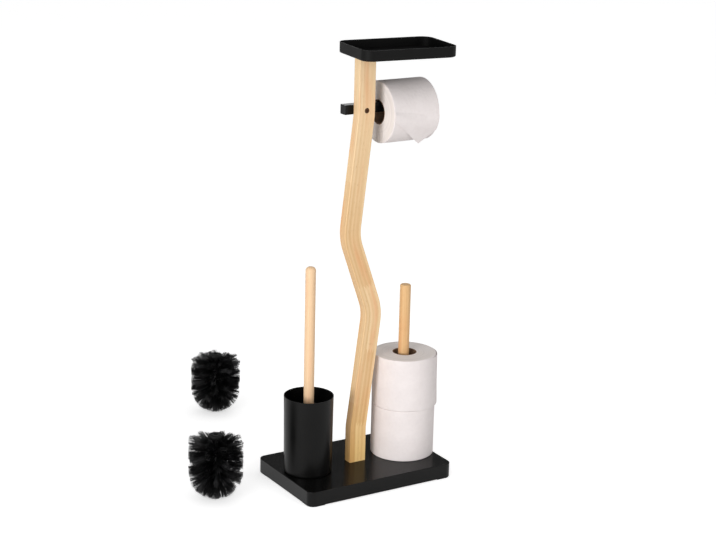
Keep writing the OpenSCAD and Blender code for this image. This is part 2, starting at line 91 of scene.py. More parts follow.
@dataclass
class Surface:
    """Points, faces and face coordinates of one piece while it is being worked out."""

    points: list[np.ndarray] = field(default_factory=list)
    faces: list[np.ndarray] = field(default_factory=list)
    coords: list[np.ndarray] = field(default_factory=list)
    slots: list[np.ndarray] = field(default_factory=list)
    count: int = 0

    def add_points(self, points: np.ndarray) -> int:
        """Adds points and returns the number of the first one.

        Args:
            points: Array of places, three numbers in its last direction.

        Returns:
            Number of the first added point.
        """
        flat = np.asarray(points, float).reshape(-1, 3)
        first = self.count
        self.points.append(flat)
        self.count += len(flat)
        return first

    def add_faces(
        self, faces: np.ndarray, coords: np.ndarray | None = None, slot: int | np.ndarray = 0
    ) -> None:
        """Adds faces that all have the same number of corners.

        Args:
            faces: Point numbers, one row for each face.
            coords: Two face coordinates for each corner, or None for zeros.
            slot: Material slot of these faces, or one slot for each.
        """
        faces = np.asarray(faces, int)
        if coords is None:
            coords = np.zeros((*faces.shape, 2))
        self.faces.append(faces)
        self.coords.append(np.asarray(coords, float).reshape(*faces.shape, 2))
        self.slots.append(np.broadcast_to(slot, len(faces)))

    def add_grid(
        self,
        places: np.ndarray,
        coords: np.ndarray | None = None,
        wrap: tuple[bool, bool] = (False, False),
        side: Side = Side.AS_WOUND,
        slot: int | np.ndarray = 0,
    ) -> np.ndarray:
        """Adds a grid of places joined by four-cornered cells.

        Cell (i, j) joins the places (i, j), (i, j + 1), (i + 1, j + 1) and (i + 1, j). In a
        wrapped direction the last place joins the first again, and the face coordinates
        there go on past the last column, so they have one row or column more.

        Args:
            places: Array of shape (rows, columns, 3).
            coords: Array of shape (rows [+ 1], columns [+ 1], 2), or None.
            wrap: Whether rows and columns close on themselves.
            side: Which way the cells look.
            slot: Material slot of the cells, or one slot for each row of cells.

        Returns:
            Point numbers in the grid's own shape.
        """
        rows, columns = places.shape[:2]
        number = self.add_points(places) + np.arange(rows * columns).reshape(rows, columns)
        i = np.arange(rows if wrap[0] else rows - 1)[:, None]
        j = np.arange(columns if wrap[1] else columns - 1)[None, :]
        i, j = np.broadcast_arrays(i, j)
        steps = ((0, 0), (0, 1), (1, 1), (1, 0))
        if side is Side.TURNED:
            steps = steps[::-1]
        faces = np.stack([number[(i + a) % rows, (j + b) % columns] for a, b in steps], -1)
        found = None
        if coords is not None:
            found = np.stack([coords[i + a, j + b] for a, b in steps], -2).reshape(-1, 4, 2)
        slots = np.broadcast_to(np.reshape(slot, (-1, 1)), i.shape).ravel()
        self.add_faces(faces.reshape(-1, 4), found, slots)
        return number

    def close_ends(self, number: np.ndarray) -> None:
        """Closes the first and the last ring of a tube with one face each."""
        self.add_faces(number[0][None, ::-1])
        self.add_faces(number[-1][None])

    def to_object(self, name: str, finishes: list[Material], crease_deg: float = 35.0) -> Piece:
        """Makes the Blender object.

        Args:
            name: Name of the piece.
            finishes: Materials, one for each slot in use.
            crease_deg: Edges that turn by more than this stay sharp.

        Returns:
            The linked object, at the origin.
        """
        mesh = bpy.data.meshes.new(name)
        points = np.concatenate(self.points)
        corners = np.concatenate([f.reshape(-1) for f in self.faces])
        sizes = np.concatenate([np.full(len(f), f.shape[1]) for f in self.faces])
        starts = np.concatenate([[0], np.cumsum(sizes)[:-1]])
        mesh.vertices.add(len(points))
        mesh.vertices.foreach_set("co", points.astype(np.float32).ravel())
        mesh.loops.add(len(corners))
        mesh.loops.foreach_set("vertex_index", corners.astype(np.int32))
        mesh.polygons.add(len(sizes))
        mesh.polygons.foreach_set("loop_start", starts.astype(np.int32))
        mesh.polygons.foreach_set("material_index", np.concatenate(self.slots).astype(np.int32))
        mesh.update(calc_edges=True)
        layer = mesh.uv_layers.new(name="surface")
        flat = np.concatenate([c.reshape(-1, 2) for c in self.coords])
        layer.data.foreach_set("uv", flat.astype(np.float32).ravel())
        mesh.validate()
        mesh.shade_smooth()
        mesh.set_sharp_from_angle(angle=math.radians(crease_deg))
        for finish in finishes:
            mesh.materials.append(finish)
        made = bpy.data.objects.new(name, mesh)
        bpy.context.scene.collection.objects.link(made)
        return made


def turned(outline: np.ndarray, angles: np.ndarray) -> np.ndarray:
    """Turns a profile about the Z axis.

    A profile point (r, z) at the angle a goes to (r cos a, r sin a, z).

    Args:
        outline: Profile points of shape (n, 2).
        angles: Angles in radians, of shape (m,).

    Returns:
        Places of shape (n, m, 3).
    """
    r, z = outline[:, :1], outline[:, 1:]
    ring = np.ones_like(angles)[None, :]
    return np.stack([r * np.cos(angles), r * np.sin(angles), z * ring], -1)


def rounded_outline(corners: list[tuple[float, float, float]], steps: int = 6) -> np.ndarray:
    """Rounds the corners of a closed flat outline.

    At a corner the two sides' tangent points lie radius * tan(turn / 2) from it, and the
    arc between them is drawn about the centre, square to the first side.

    Args:
        corners: Corner points in order, each with its radius. A radius of 0 keeps it sharp.
        steps: Number of chords in each arc.

    Returns:
        Outline points of shape (n, 2).
    """
    spots = np.array([c[:2] for c in corners], float)
    found: list[np.ndarray] = []
    for k, (_, _, radius) in enumerate(corners):
        here, before, after = spots[k], spots[k - 1], spots[(k + 1) % len(spots)]
        if radius <= 0:
            found.append(here[None])
            continue
        go_in = (here - before) / np.linalg.norm(here - before)
        go_out = (after - here) / np.linalg.norm(after - here)
        turn = math.atan2(go_in[0] * go_out[1] - go_in[1] * go_out[0], float(go_in @ go_out))
        start = here - go_in * radius * math.tan(abs(turn) / 2)
        left = np.array([-go_in[1], go_in[0]]) * math.copysign(1, turn)
        a = np.linspace(0, abs(turn), steps + 1)[:, None]
        found.append(start + radius * (go_in * np.sin(a) + left * (1 - np.cos(a))))
    return np.concatenate(found)


def resample(outline: np.ndarray, spacing: float) -> np.ndarray:
    """Adds points on the long sides of a closed outline, keeping all of its own.

    Args:
        outline: Points of shape (n, 2).
        spacing: Largest distance between neighbours.

    Returns:
        Points of shape (m, 2).
    """
    found = []
    for a, b in zip(outline, np.roll(outline, -1, axis=0)):
        parts = max(1, math.ceil(np.linalg.norm(b - a) / spacing))
        found.append(a + (b - a) * np.arange(parts)[:, None] / parts)
    return np.concatenate(found)


def eased(share: np.ndarray) -> np.ndarray:
    """Goes from 0 to 1 with level ends, as 3 s * s - 2 s * s * s."""
    return share * share * (3 - 2 * share)


def unit(vectors: np.ndarray) -> np.ndarray:
    """Brings vectors to the length of 1."""
    return vectors / (np.linalg.norm(vectors, axis=-1, keepdims=True) + 1e-12)


def quarter_round(reach: np.ndarray, edge: float, radius: float) -> np.ndarray:
    """How far a quarter circle takes a side in, at each reach towards the edge where it ends."""
    past = np.clip(reach - (edge - radius), 0, radius)
    return radius - np.sqrt(np.clip(radius**2 - past**2, 0, None))


def face_outwards(piece: Piece) -> None:
    """Merges doubled points and turns all faces outwards.

    Args:
        piece: A piece whose shell is closed.
    """
    work = bmesh.new()
    work.from_mesh(piece.data)
    bmesh.ops.remove_doubles(work, verts=work.verts, dist=1e-7)
    bmesh.ops.recalc_face_normals(work, faces=work.faces)
    work.to_mesh(piece.data)
    work.free()
    piece.data.update()


def hand_over(
    piece: Piece, body: str, place: Matrix | None = None, node: str = ""
) -> None:
    """Puts a finished piece in place and says what it is.

    Args:
        piece: The finished piece.
        body: Body that the piece rides on.
        place: Matrix from where it was worked out to its place, or None.
        node: Solid that the piece stands for, if there is one.
    """
    if place is not None:
        piece.data.transform(place)
        piece.data.update()
    if node:
        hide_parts(node)
    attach(piece, body)
    LOG.info("%s: %d faces", piece.name, len(piece.data.polygons))


# Materials


class Nodes:
    """A node tree, with short calls to add nodes and join them."""

    def __init__(self, tree: bpy.types.NodeTree) -> None:
        """Takes over a tree and empties it."""
        self.tree = tree
        self.tree.nodes.clear()

    def put(self, socket: Socket, value: Socket | Colour | float) -> None:
        """Links an input to an output, or sets it.

        Args:
            socket: The input.
            value: An output, a colour or a number.
        """
        if isinstance(value, Socket):
            self.tree.links.new(value, socket)
        elif socket.type == "RGBA":
            socket.default_value = (*value, 1.0)
        else:
            socket.default_value = value

    def add(self, kind: str, **settings: object) -> Node:
        """Adds a node and sets what its keywords name.

        Args:
            kind: Node type, without its common beginning.
            **settings: Properties of the node, or input sockets by name with _ for a space.

        Returns:
            The new node.
        """
        node = self.tree.nodes.new("ShaderNode" + kind)
        for key, value in settings.items():
            socket = node.inputs.get(key.replace("_", " "))
            if socket is None or hasattr(node, key):
                setattr(node, key, value)
            else:
                self.put(socket, value)
        return node

    def place(
        self, scale: Spot = (1, 1, 1), shift: Spot = (0, 0, 0), source: Socket | None = None
    ) -> Socket:
        """Coordinates on the piece, scaled and then shifted along each axis.

        Args:
            scale: Scale along X, Y and Z.
            shift: Shift added after the scaling.
            source: Coordinates to start from, or None for the object's own.

        Returns:
            The mapped coordinates.
        """
        if source is None:
            source = self.add("TexCoord").outputs["Object"]
        return self.add("Mapping", Vector=source, Scale=scale, Location=shift).outputs["Vector"]

    def noise(
        self, where: Socket, scale: float = 1.0, detail: float = 2.0, rough: float = 0.5
    ) -> Socket:
        """Smooth noise from 0 to 1 at the given coordinates."""
        node = self.add("TexNoise", Vector=where, Scale=scale, Detail=detail, Roughness=rough)
        return node.outputs["Fac"]

    def between(
        self, value: Socket, low: float, high: float, to_low: float = 0.0, to_high: float = 1.0
    ) -> Socket:
        """Stretches a value from one range to another and holds it there.

        Args:
            value: The value.
            low: What becomes to_low.
            high: What becomes to_high.
            to_low: Start of the new range.
            to_high: End of the new range.

        Returns:
            The stretched value.
        """
        return self.add(
            "MapRange", Value=value, From_Min=low, From_Max=high, To_Min=to_low, To_Max=to_high
        ).outputs["Result"]

    def spread(self, noise: Socket, to_low: float = 0.0, to_high: float = 1.0) -> Socket:
        """Stretches noise, which mostly lies between 0.3 and 0.7, over a whole range."""
        return self.between(noise, 0.3, 0.7, to_low, to_high)

    def calc(self, operation: str, a: Socket | float, b: Socket | float) -> Socket:
        """One step of arithmetic.

        Args:
            operation: Name of the operation.
            a: First value.
            b: Second value.

        Returns:
            The result.
        """
        node = self.add("Math", operation=operation)
        for socket, value in zip(node.inputs, (a, b)):
            self.put(socket, value)
        return node.outputs["Value"]

    def total(self, *parts: tuple[Socket, float]) -> Socket:
        """Adds up values, each times its own weight.

        Args:
            *parts: Each value with its weight.

        Returns:
            The sum.
        """
        found = self.calc("MULTIPLY", *parts[0])
        for value, weight in parts[1:]:
            found = self.calc("ADD", found, self.calc("MULTIPLY", value, weight))
        return found

    def blend(
        self,
        share: Socket | float,
        a: Socket | Colour | float,
        b: Socket | Colour | float,
        kind: str = "RGBA",
    ) -> Socket:
        """Mixes two colours or two numbers.

        Args:
            share: Share of the second one, from 0 to 1.
            a: The first.
            b: The second.
            kind: RGBA for colours and FLOAT for numbers.

        Returns:
            The mixture.
        """
        node = self.add("Mix", data_type=kind)
        for socket, value in zip([s for s in node.inputs if s.enabled], (share, a, b)):
            self.put(socket, value)
        return next(s for s in node.outputs if s.enabled)

    def steps(self, value: Socket, tones: tuple[tuple[float, float], ...]) -> Socket:
        """Level tones along a value from 0 to 1.

        Args:
            value: The value.
            tones: Where each tone starts, and the tone.

        Returns:
            The tone, as a grey.
        """
        node = self.add("ValToRGB", Fac=value)
        ramp = node.color_ramp
        ramp.interpolation = "CONSTANT"
        while len(ramp.elements) < len(tones):
            ramp.elements.new(0.5)
        for element, (start, tone) in zip(ramp.elements, tones):
            element.position = start
            element.color = (tone, tone, tone, 1.0)
        return node.outputs["Color"]

    def seen(self) -> Socket:
        """Tells what is seen, also in a mirror or through glass, from what only lights.

        Returns:
            1 for what is seen and 0 for all other light.
        """
        path = self.add("LightPath").outputs
        straight = self.calc("MAXIMUM", path["Is Camera Ray"], path["Is Glossy Ray"])
        return self.calc("MAXIMUM", straight, path["Is Transmission Ray"])


class MaterialNodes(Nodes):
    """Nodes of a new material, with its main shader."""

    def __init__(self, name: str) -> None:
        """Makes the material, its main shader and its output.

        Args:
            name: Name of the material.
        """
        self.material = bpy.data.materials.new(name)
        self.material.use_nodes = True
        super().__init__(self.material.node_tree)
        self.output = self.add("OutputMaterial")
        self.shader = self.add("BsdfPrincipled")
        self.put(self.output.inputs["Surface"], self.shader.outputs["BSDF"])

    def set(self, **values: object) -> None:
        """Sets or links sockets of the main shader, with _ for a space in their names."""
        for key, value in values.items():
            self.put(self.shader.inputs[key.replace("_", " ")], value)

    def relief(self, height: Socket, depth: float, strength: float = 1.0) -> None:
        """Bumps the surface by a height from 0 to 1, depth metres deep."""
        bump = self.add("Bump", Height=height, Distance=depth, Strength=strength)
        self.put(self.shader.inputs["Normal"], bump.outputs["Normal"])


@dataclass(frozen=True)
class PowderCoat:
    """Fine matt black powder coat on steel: a soft orange-peel skin over near-black."""

    name: str = "powder_coat"
    dark: Colour = (0.0028, 0.0028, 0.0027)
    light: Colour = (0.0042, 0.0041, 0.0040)
    roughness: tuple[float, float] = (0.27, 0.34)
    grain: float = 900.0
    cloud_scale: float = 14.0
    contrast: tuple[float, float] = (0.35, 0.65)
    depth: float = 0.000009
    gloss: float = 0.13

    def material(self) -> Material:
        """Builds the material.

        Returns:
            The new material.
        """
        n = MaterialNodes(self.name)
        where = n.place()
        cloud = n.noise(where, self.cloud_scale)
        n.set(
            Base_Color=n.blend(n.between(cloud, *self.contrast), self.dark, self.light),
            Roughness=n.spread(cloud, *self.roughness),
            Specular_IOR_Level=self.gloss,
        )
        n.relief(n.noise(where, self.grain, 3.0, 0.6), self.depth)
        return n.material


@dataclass(frozen=True)
class PaleWood:
    """Pale satin-lacquered wood with straight grain along its third coordinate.

    Growth rings are circles about a far-off pith, stretched along the grain. Fine fibres
    and short dark pores lie over them.
    """

    name: str
    light: Colour
    dark: Colour
    pith: Spot = (0.05, 0.09, 0.0)
    ring: float = 0.0042
    ring_stretch: float = 0.035
    fibre_scale: Spot = (900, 900, 16)
    band_scale: Spot = (210, 210, 2.6)
    patch_scale: Spot = (60, 60, 7)
    pore_scale: Spot = (1600, 1600, 95)
    weights: Spot = (0.3, 0.22, 0.40)
    rosy: Colour = (1.16, 0.95, 0.98)
    rosy_from: tuple[float, float] = (0.5, 0.7)
    rosy_share: float = 0.5
    brown: Colour = (0.62, 0.52, 0.42)
    pore_from: tuple[float, float] = (0.66, 0.74)
    pore_share: float = 0.4
    pore_depth: float = 0.6
    gloss: float = 0.32
    roughness: tuple[float, float] = (0.42, 0.52)
    streak: float = 0.75
    depth: float = 0.00003

    def source(self, n: Nodes) -> Socket:
        """Coordinates of the grain: two across it and one along it."""
        return n.add("TexCoord").outputs["Object"]

    def tones(self, n: Nodes, where: Socket) -> tuple[Socket | Colour, Socket | Colour]:
        """Light and dark colour of the wood."""
        return self.light, self.dark

    def lean(self, n: Nodes, where: Socket) -> Socket | float:
        """What is added to the tone, lighter below 0 and darker above it."""
        return 0.0

    def tinted(self, tint: Colour) -> Colour:
        """The dark colour, with each of its parts times the tint's."""
        return tuple(c * k for c, k in zip(self.dark, tint))

    def material(self) -> Material:
        """Builds the material.

        Returns:
            The new material.
        """
        n = MaterialNodes(self.name)
        source = self.source(n)
        rings = n.add(
            "TexWave",
            wave_type="RINGS",
            rings_direction="Z",
            wave_profile="SIN",
            Vector=n.place((1, 1, self.ring_stretch), self.pith, source),
            Scale=2 * math.pi / (20 * self.ring),
            Distortion=2.4,
            Detail=2.0,
            Detail_Scale=0.25,
        ).outputs["Fac"]
        fibres = n.noise(n.place(self.fibre_scale, (0, 0, 0), source), 1.0, 3.0, 0.6)
        bands = n.noise(n.place(self.band_scale, (3, 1, 0), source))
        patch = n.noise(n.place(self.patch_scale, (7, 2, 0), source))
        pores = n.noise(n.place(self.pore_scale, (0, 5, 0), source), 1.0, 1.0)
        pores = n.between(pores, *self.pore_from)
        tone = n.total(*zip((rings, n.spread(fibres), n.spread(bands)), self.weights))
        tone = n.calc("ADD", n.calc("MULTIPLY", tone, self.streak), self.lean(n, source))
        wood = n.blend(tone, *self.tones(n, source))
        rosy = n.between(patch, *self.rosy_from, 0.0, self.rosy_share)
        wood = n.blend(rosy, wood, self.tinted(self.rosy))
        brown = n.calc("MULTIPLY", pores, self.pore_share)
        wood = n.blend(brown, wood, self.tinted(self.brown))
        n.set(
            Base_Color=wood,
            Roughness=n.spread(fibres, *self.roughness),
            Specular_IOR_Level=self.gloss,
        )
        n.relief(n.total((fibres, 1.0), (pores, -self.pore_depth)), self.depth)
        return n.material


@dataclass(frozen=True)
class JointedWood(PaleWood):
    """Wood of the post: three strips glued side by side, finger-jointed from shorter lengths.

    The coordinates are across, front to back and along the straightened post. The wood is
    painted paler towards the top, a painted highlight, and more golden and saturated towards
    the foot, a painted warm shade.
    """

    length: float = 0.76
    seams: tuple[float, float] = (0.0066, -0.0110)
    strips: tuple[tuple[tuple[float, float], ...], ...] = (
        ((0.0, 0.38), (0.145, 0.14), (0.455, 0.26), (0.70, 0.16)),
        (
            (0.0, -0.10),
            (0.10, 0.26),
            (0.285, -0.18),
            (0.448, 0.28),
            (0.66, 0.24),
            (0.86, 0.16),
        ),
        ((0.0, -0.14), (0.20, -0.22), (0.452, 0.04), (0.74, 0.20)),
    )
    finger: tuple[float, float] = (0.0055, 0.009)
    # foot and top hold the colours of a painted warm shade at the foot and of a painted highlight
    # at the top; the two fades say where along the post they blend in.
    foot: tuple[Colour, Colour] = ((0.95, 0.66, 0.275), (0.70, 0.37, 0.115))
    top: tuple[Colour, Colour] = ((0.90, 0.70, 0.44), (0.73, 0.48, 0.255))
    foot_warm_shade_fade: tuple[float, float] = (0.02, 0.15)
    top_highlight_fade: tuple[float, float] = (0.44, 0.66)

    def source(self, n: Nodes) -> Socket:
        """Coordinates written on the post itself."""
        return n.add("Attribute", attribute_name="grain").outputs["Vector"]

    def tones(self, n: Nodes, where: Socket) -> tuple[Socket, Socket]:
        """Light and dark colour, changing slowly along the post.

        Args:
            n: Nodes of the material.
            where: Coordinates of the grain.

        Returns:
            The light and the dark colour.
        """
        along = n.add("SeparateXYZ", Vector=where).outputs["Z"]
        # Painted highlight towards the top and painted warm shade towards the foot.
        high = n.between(along, *self.top_highlight_fade)
        low = n.between(along, *self.foot_warm_shade_fade, 1.0, 0.0)
        colours = zip((self.light, self.dark), self.foot, self.top)
        light, dark = (n.blend(low, n.blend(high, mid, top), foot) for mid, foot, top in colours)
        return light, dark

    def lean(self, n: Nodes, where: Socket) -> Socket:
        """Tone of each strip's lengths, whose ends meet in fingers: a zigzag across the strip.

        Args:
            n: Nodes of the material.
            where: Coordinates of the grain.

        Returns:
            What is added to the tone.
        """
        split = n.add("SeparateXYZ", Vector=where)
        across = split.outputs["X"]
        pitch, reach = self.finger
        zigzag = n.calc("MULTIPLY", n.calc("PINGPONG", across, pitch / 2), 2 * reach / pitch)
        share = n.calc("DIVIDE", n.calc("ADD", split.outputs["Z"], zigzag), self.length)
        tones = []
        for strip in self.strips:
            tone = n.steps(share, tuple((start, 0.5 + value) for start, value in strip))
            tones.append(n.calc("SUBTRACT", tone, 0.5))
        tone = tones[0]
        for seam, following in zip(self.seams, tones[1:]):
            past = n.calc("LESS_THAN", across, seam)
            change = n.calc("SUBTRACT", following, tone)
            tone = n.calc("ADD", tone, n.calc("MULTIPLY", past, change))
        return tone


@dataclass(frozen=True)
class TissueWrap:
    """Outer face of a roll: soft white tissue with small pressed dimples.

    Its face coordinates are the length round the roll and the width along it. The dimples' hollow
    centres are painted darker, a painted shade, over a random soft tone.
    """

    name: str = "tissue_wrap"
    light: Colour = (0.83, 0.768, 0.757)
    dark: Colour = (0.775, 0.712, 0.70)
    dimple: float = 0.0062
    sway: Spot = (0.004, 0.004, 0.0)
    sway_scale: float = 90.0
    soft_scale: float = 45.0
    fuzz_scale: float = 1500.0
    shares: Spot = (0.36, 0.8, 0.12)
    depth: float = 0.0007

    def material(self) -> Material:
        """Builds the material.

        Returns:
            The new material.
        """
        n = MaterialNodes(self.name)
        where = n.add("TexCoord").outputs["UV"]
        sway = n.add("TexNoise", Vector=where, Scale=self.sway_scale, Detail=1.0).outputs["Color"]
        bent = n.add("VectorMath", operation="MULTIPLY_ADD")
        for socket, value in zip(bent.inputs, (sway, self.sway, where)):
            n.put(socket, value)
        dents = n.add(
            "TexVoronoi",
            feature="SMOOTH_F1",
            Vector=bent.outputs["Vector"],
            Scale=1 / self.dimple,
            Randomness=0.75,
        ).outputs["Distance"]
        dents = n.between(dents, 0.05, 0.65)
        soft = n.noise(where, self.soft_scale, 3.0, 0.6)
        fuzz = n.noise(where, self.fuzz_scale, 2.0, 0.7)
        # Painted shade: the dimples' hollow centres are painted darker; the soft noise adds a
        # random tone.
        shade = n.total((dents, -0.35), (n.between(soft, 0.25, 0.75, 0.2, 0.9), 1.0))
        n.set(
            Base_Color=n.blend(shade, self.light, self.dark),
            Roughness=0.95,
            Specular_IOR_Level=0.12,
            Sheen_Weight=0.08,
            Sheen_Roughness=0.5,
        )
        n.relief(n.total(*zip((dents, soft, fuzz), self.shares)), self.depth, 0.9)
        return n.material


@dataclass(frozen=True)
class TissueEdges:
    """End of a roll, where the edges of its many layers show as fine rings.

    Its face coordinates are the length round the roll and the distance from its axis. The lower
    rings between proud layers are painted darker, a painted shade.
    """

    name: str = "tissue_edges"
    light: Colour = (0.87, 0.82, 0.795)
    dark: Colour = (0.74, 0.695, 0.675)
    layer_scale: Spot = (9, 1500, 1)
    band_scale: Spot = (6, 320, 1)
    depth: float = 0.0005

    def material(self) -> Material:
        """Builds the material.

        Returns:
            The new material.
        """
        n = MaterialNodes(self.name)
        where = n.add("TexCoord").outputs["UV"]
        layers = n.noise(n.place(self.layer_scale, (0, 0, 0), where), 1.0, 3.0, 0.7)
        bands = n.noise(n.place(self.band_scale, (2, 0, 0), where))
        height = n.total((layers, 0.6), (bands, 0.8))
        # Painted shade: the colour follows the relief's height, darker where the layers lie lower.
        n.set(
            Base_Color=n.blend(n.between(height, 0.45, 0.95), self.dark, self.light),
            Roughness=0.97,
            Specular_IOR_Level=0.1,
        )
        n.relief(height, self.depth, 0.9)
        return n.material


@dataclass(frozen=True)
class Card:
    """Raw grey-brown card of a roll's tube, with fine fibres."""

    name: str = "tube_card"
    light: Colour = (0.27, 0.175, 0.115)
    dark: Colour = (0.17, 0.105, 0.068)
    fibre_scale: Spot = (500, 500, 160)
    speck_scale: float = 260.0
    depth: float = 0.00008

    def material(self) -> Material:
        """Builds the material.

        Returns:
            The new material.
        """
        n = MaterialNodes(self.name)
        fibre = n.noise(n.place(self.fibre_scale), 1.0, 3.0, 0.65)
        speck = n.noise(n.place(), self.speck_scale)
        n.set(
            Base_Color=n.blend(n.spread(fibre), self.light, self.dark),
            Roughness=n.spread(speck, 0.82, 0.95),
            Specular_IOR_Level=0.15,
        )
        n.relief(fibre, self.depth)
        return n.material


@dataclass(frozen=True)
class Plain:
    """A finish of one tone with a fine mottle, such as rubber, plastic or plated steel."""

    name: str
    colour: Colour
    roughness: tuple[float, float] = (0.4, 0.5)
    metallic: float = 0.0
    gloss: float = 0.5
    grain: float = 600.0
    depth: float = 0.00002
    mottle: float = 0.18

    def material(self) -> Material:
        """Builds the material.

        Returns:
            The new material.
        """
        n = MaterialNodes(self.name)
        where = n.place()
        cloud = n.noise(where, self.grain / 9)
        darker = tuple(c * (1 - self.mottle) for c in self.colour)
        n.set(
            Base_Color=n.blend(n.spread(cloud), darker, self.colour),
            Roughness=n.spread(cloud, *self.roughness),
            Specular_IOR_Level=self.gloss,
            Metallic=self.metallic,
        )
        n.relief(n.noise(where, self.grain, 3.0, 0.6), self.depth)
        return n.material


@dataclass(frozen=True)
class BlackBristle:
    """Black nylon filaments, some tufts greyer than others and paler towards their tips.

    Their first face coordinate is the tuft's own share of painted highlight and the second runs
    along them. The greyer tufts are painted highlights, and the paler tips over darker roots are
    painted light and shade.
    """

    name: str = "bristle_nylon"
    deep: Colour = (0.0045, 0.0045, 0.0047)
    grey: Colour = (0.07, 0.07, 0.072)
    painted_highlight_from: tuple[float, float] = (0.75, 1.0)
    root_shade_share: float = 0.3

    def material(self) -> Material:
        """Builds the material.

        Returns:
            The new material.
        """
        n = MaterialNodes(self.name)
        split = n.add("SeparateXYZ", Vector=n.add("TexCoord").outputs["UV"]).outputs
        # Painted highlight: a share of tufts is painted grey, paler towards the lit tips and
        # darker at the shaded roots.
        shade = n.between(split["X"], *self.painted_highlight_from)
        along = n.between(split["Y"], 0.1, 0.9, self.root_shade_share, 1.0)
        n.set(
            Base_Color=n.blend(n.calc("MULTIPLY", shade, along), self.deep, self.grey),
            Roughness=n.between(split["X"], 0.0, 1.0, 0.3, 0.4),
            Specular_IOR_Level=0.5,
        )
        return n.material


@dataclass(frozen=True)
class Board:
    """Raw fibreboard inside the base."""

    name: str = "fibreboard"
    light: Colour = (0.33, 0.22, 0.13)
    dark: Colour = (0.22, 0.14, 0.08)
    flake_scale: Spot = (350, 350, 900)
    depth: float = 0.0001

    def material(self) -> Material:
        """Builds the material.

        Returns:
            The new material.
        """
        n = MaterialNodes(self.name)
        flakes = n.noise(n.place(self.flake_scale), 1.0, 4.0, 0.7)
        n.set(
            Base_Color=n.blend(n.spread(flakes), self.dark, self.light),
            Roughness=n.spread(flakes, 0.8, 0.95),
            Specular_IOR_Level=0.2,
        )
        n.relief(flakes, self.depth)
        return n.material


class Finishes:
    """All the finishes of the stand, each made once."""

    def __init__(self) -> None:
        """Makes the materials."""
        self.coat = PowderCoat().material()
        self.base_coat = PowderCoat(
            "base_powder_coat", roughness=(0.19, 0.24), depth=0.000005, gloss=0.15
        ).material()
        self.tray_coat = PowderCoat(
            "tray_powder_coat", roughness=(0.50, 0.58), gloss=0.10
        ).material()
        self.post = JointedWood("post_wood", (0.87, 0.64, 0.375), (0.655, 0.385, 0.165)).material()
        self.stick = PaleWood(
            "stick_wood",
            light=(0.86, 0.61, 0.385),
            dark=(0.74, 0.475, 0.265),
            pith=(0.02, 0.012, 0.0),
            ring=0.003,
        ).material()
        self.dowel = PaleWood(
            "dowel_wood",
            light=(0.78, 0.50, 0.245),
            dark=(0.60, 0.345, 0.14),
            pith=(-0.05, 0.011, 0.0),
            ring=0.003,
        ).material()
        self.wrap = TissueWrap().material()
        self.edges = TissueEdges().material()
        self.card = Card().material()
        self.rubber = Plain(
            "foot_rubber", (0.012, 0.012, 0.012), (0.75, 0.85), gloss=0.25, depth=0.00004
        ).material()
        self.plastic = Plain(
            "head_plastic", (0.006, 0.006, 0.006), (0.5, 0.6), gloss=0.2
        ).material()
        self.bristle = BlackBristle().material()
        self.bronze = Plain(
            "bolt_bronze", (0.085, 0.038, 0.016), (0.36, 0.46), metallic=0.7, grain=1400.0
        ).material()
        self.steel = Plain(
            "plated_steel", (0.55, 0.55, 0.56), (0.3, 0.42), metallic=1.0, grain=1400.0
        ).material()
        self.black_screw = Plain(
            "blackened_steel", (0.02, 0.02, 0.02), (0.34, 0.44), metallic=0.6
        ).material()
        self.board = Board().material()


# Sub-assemblies


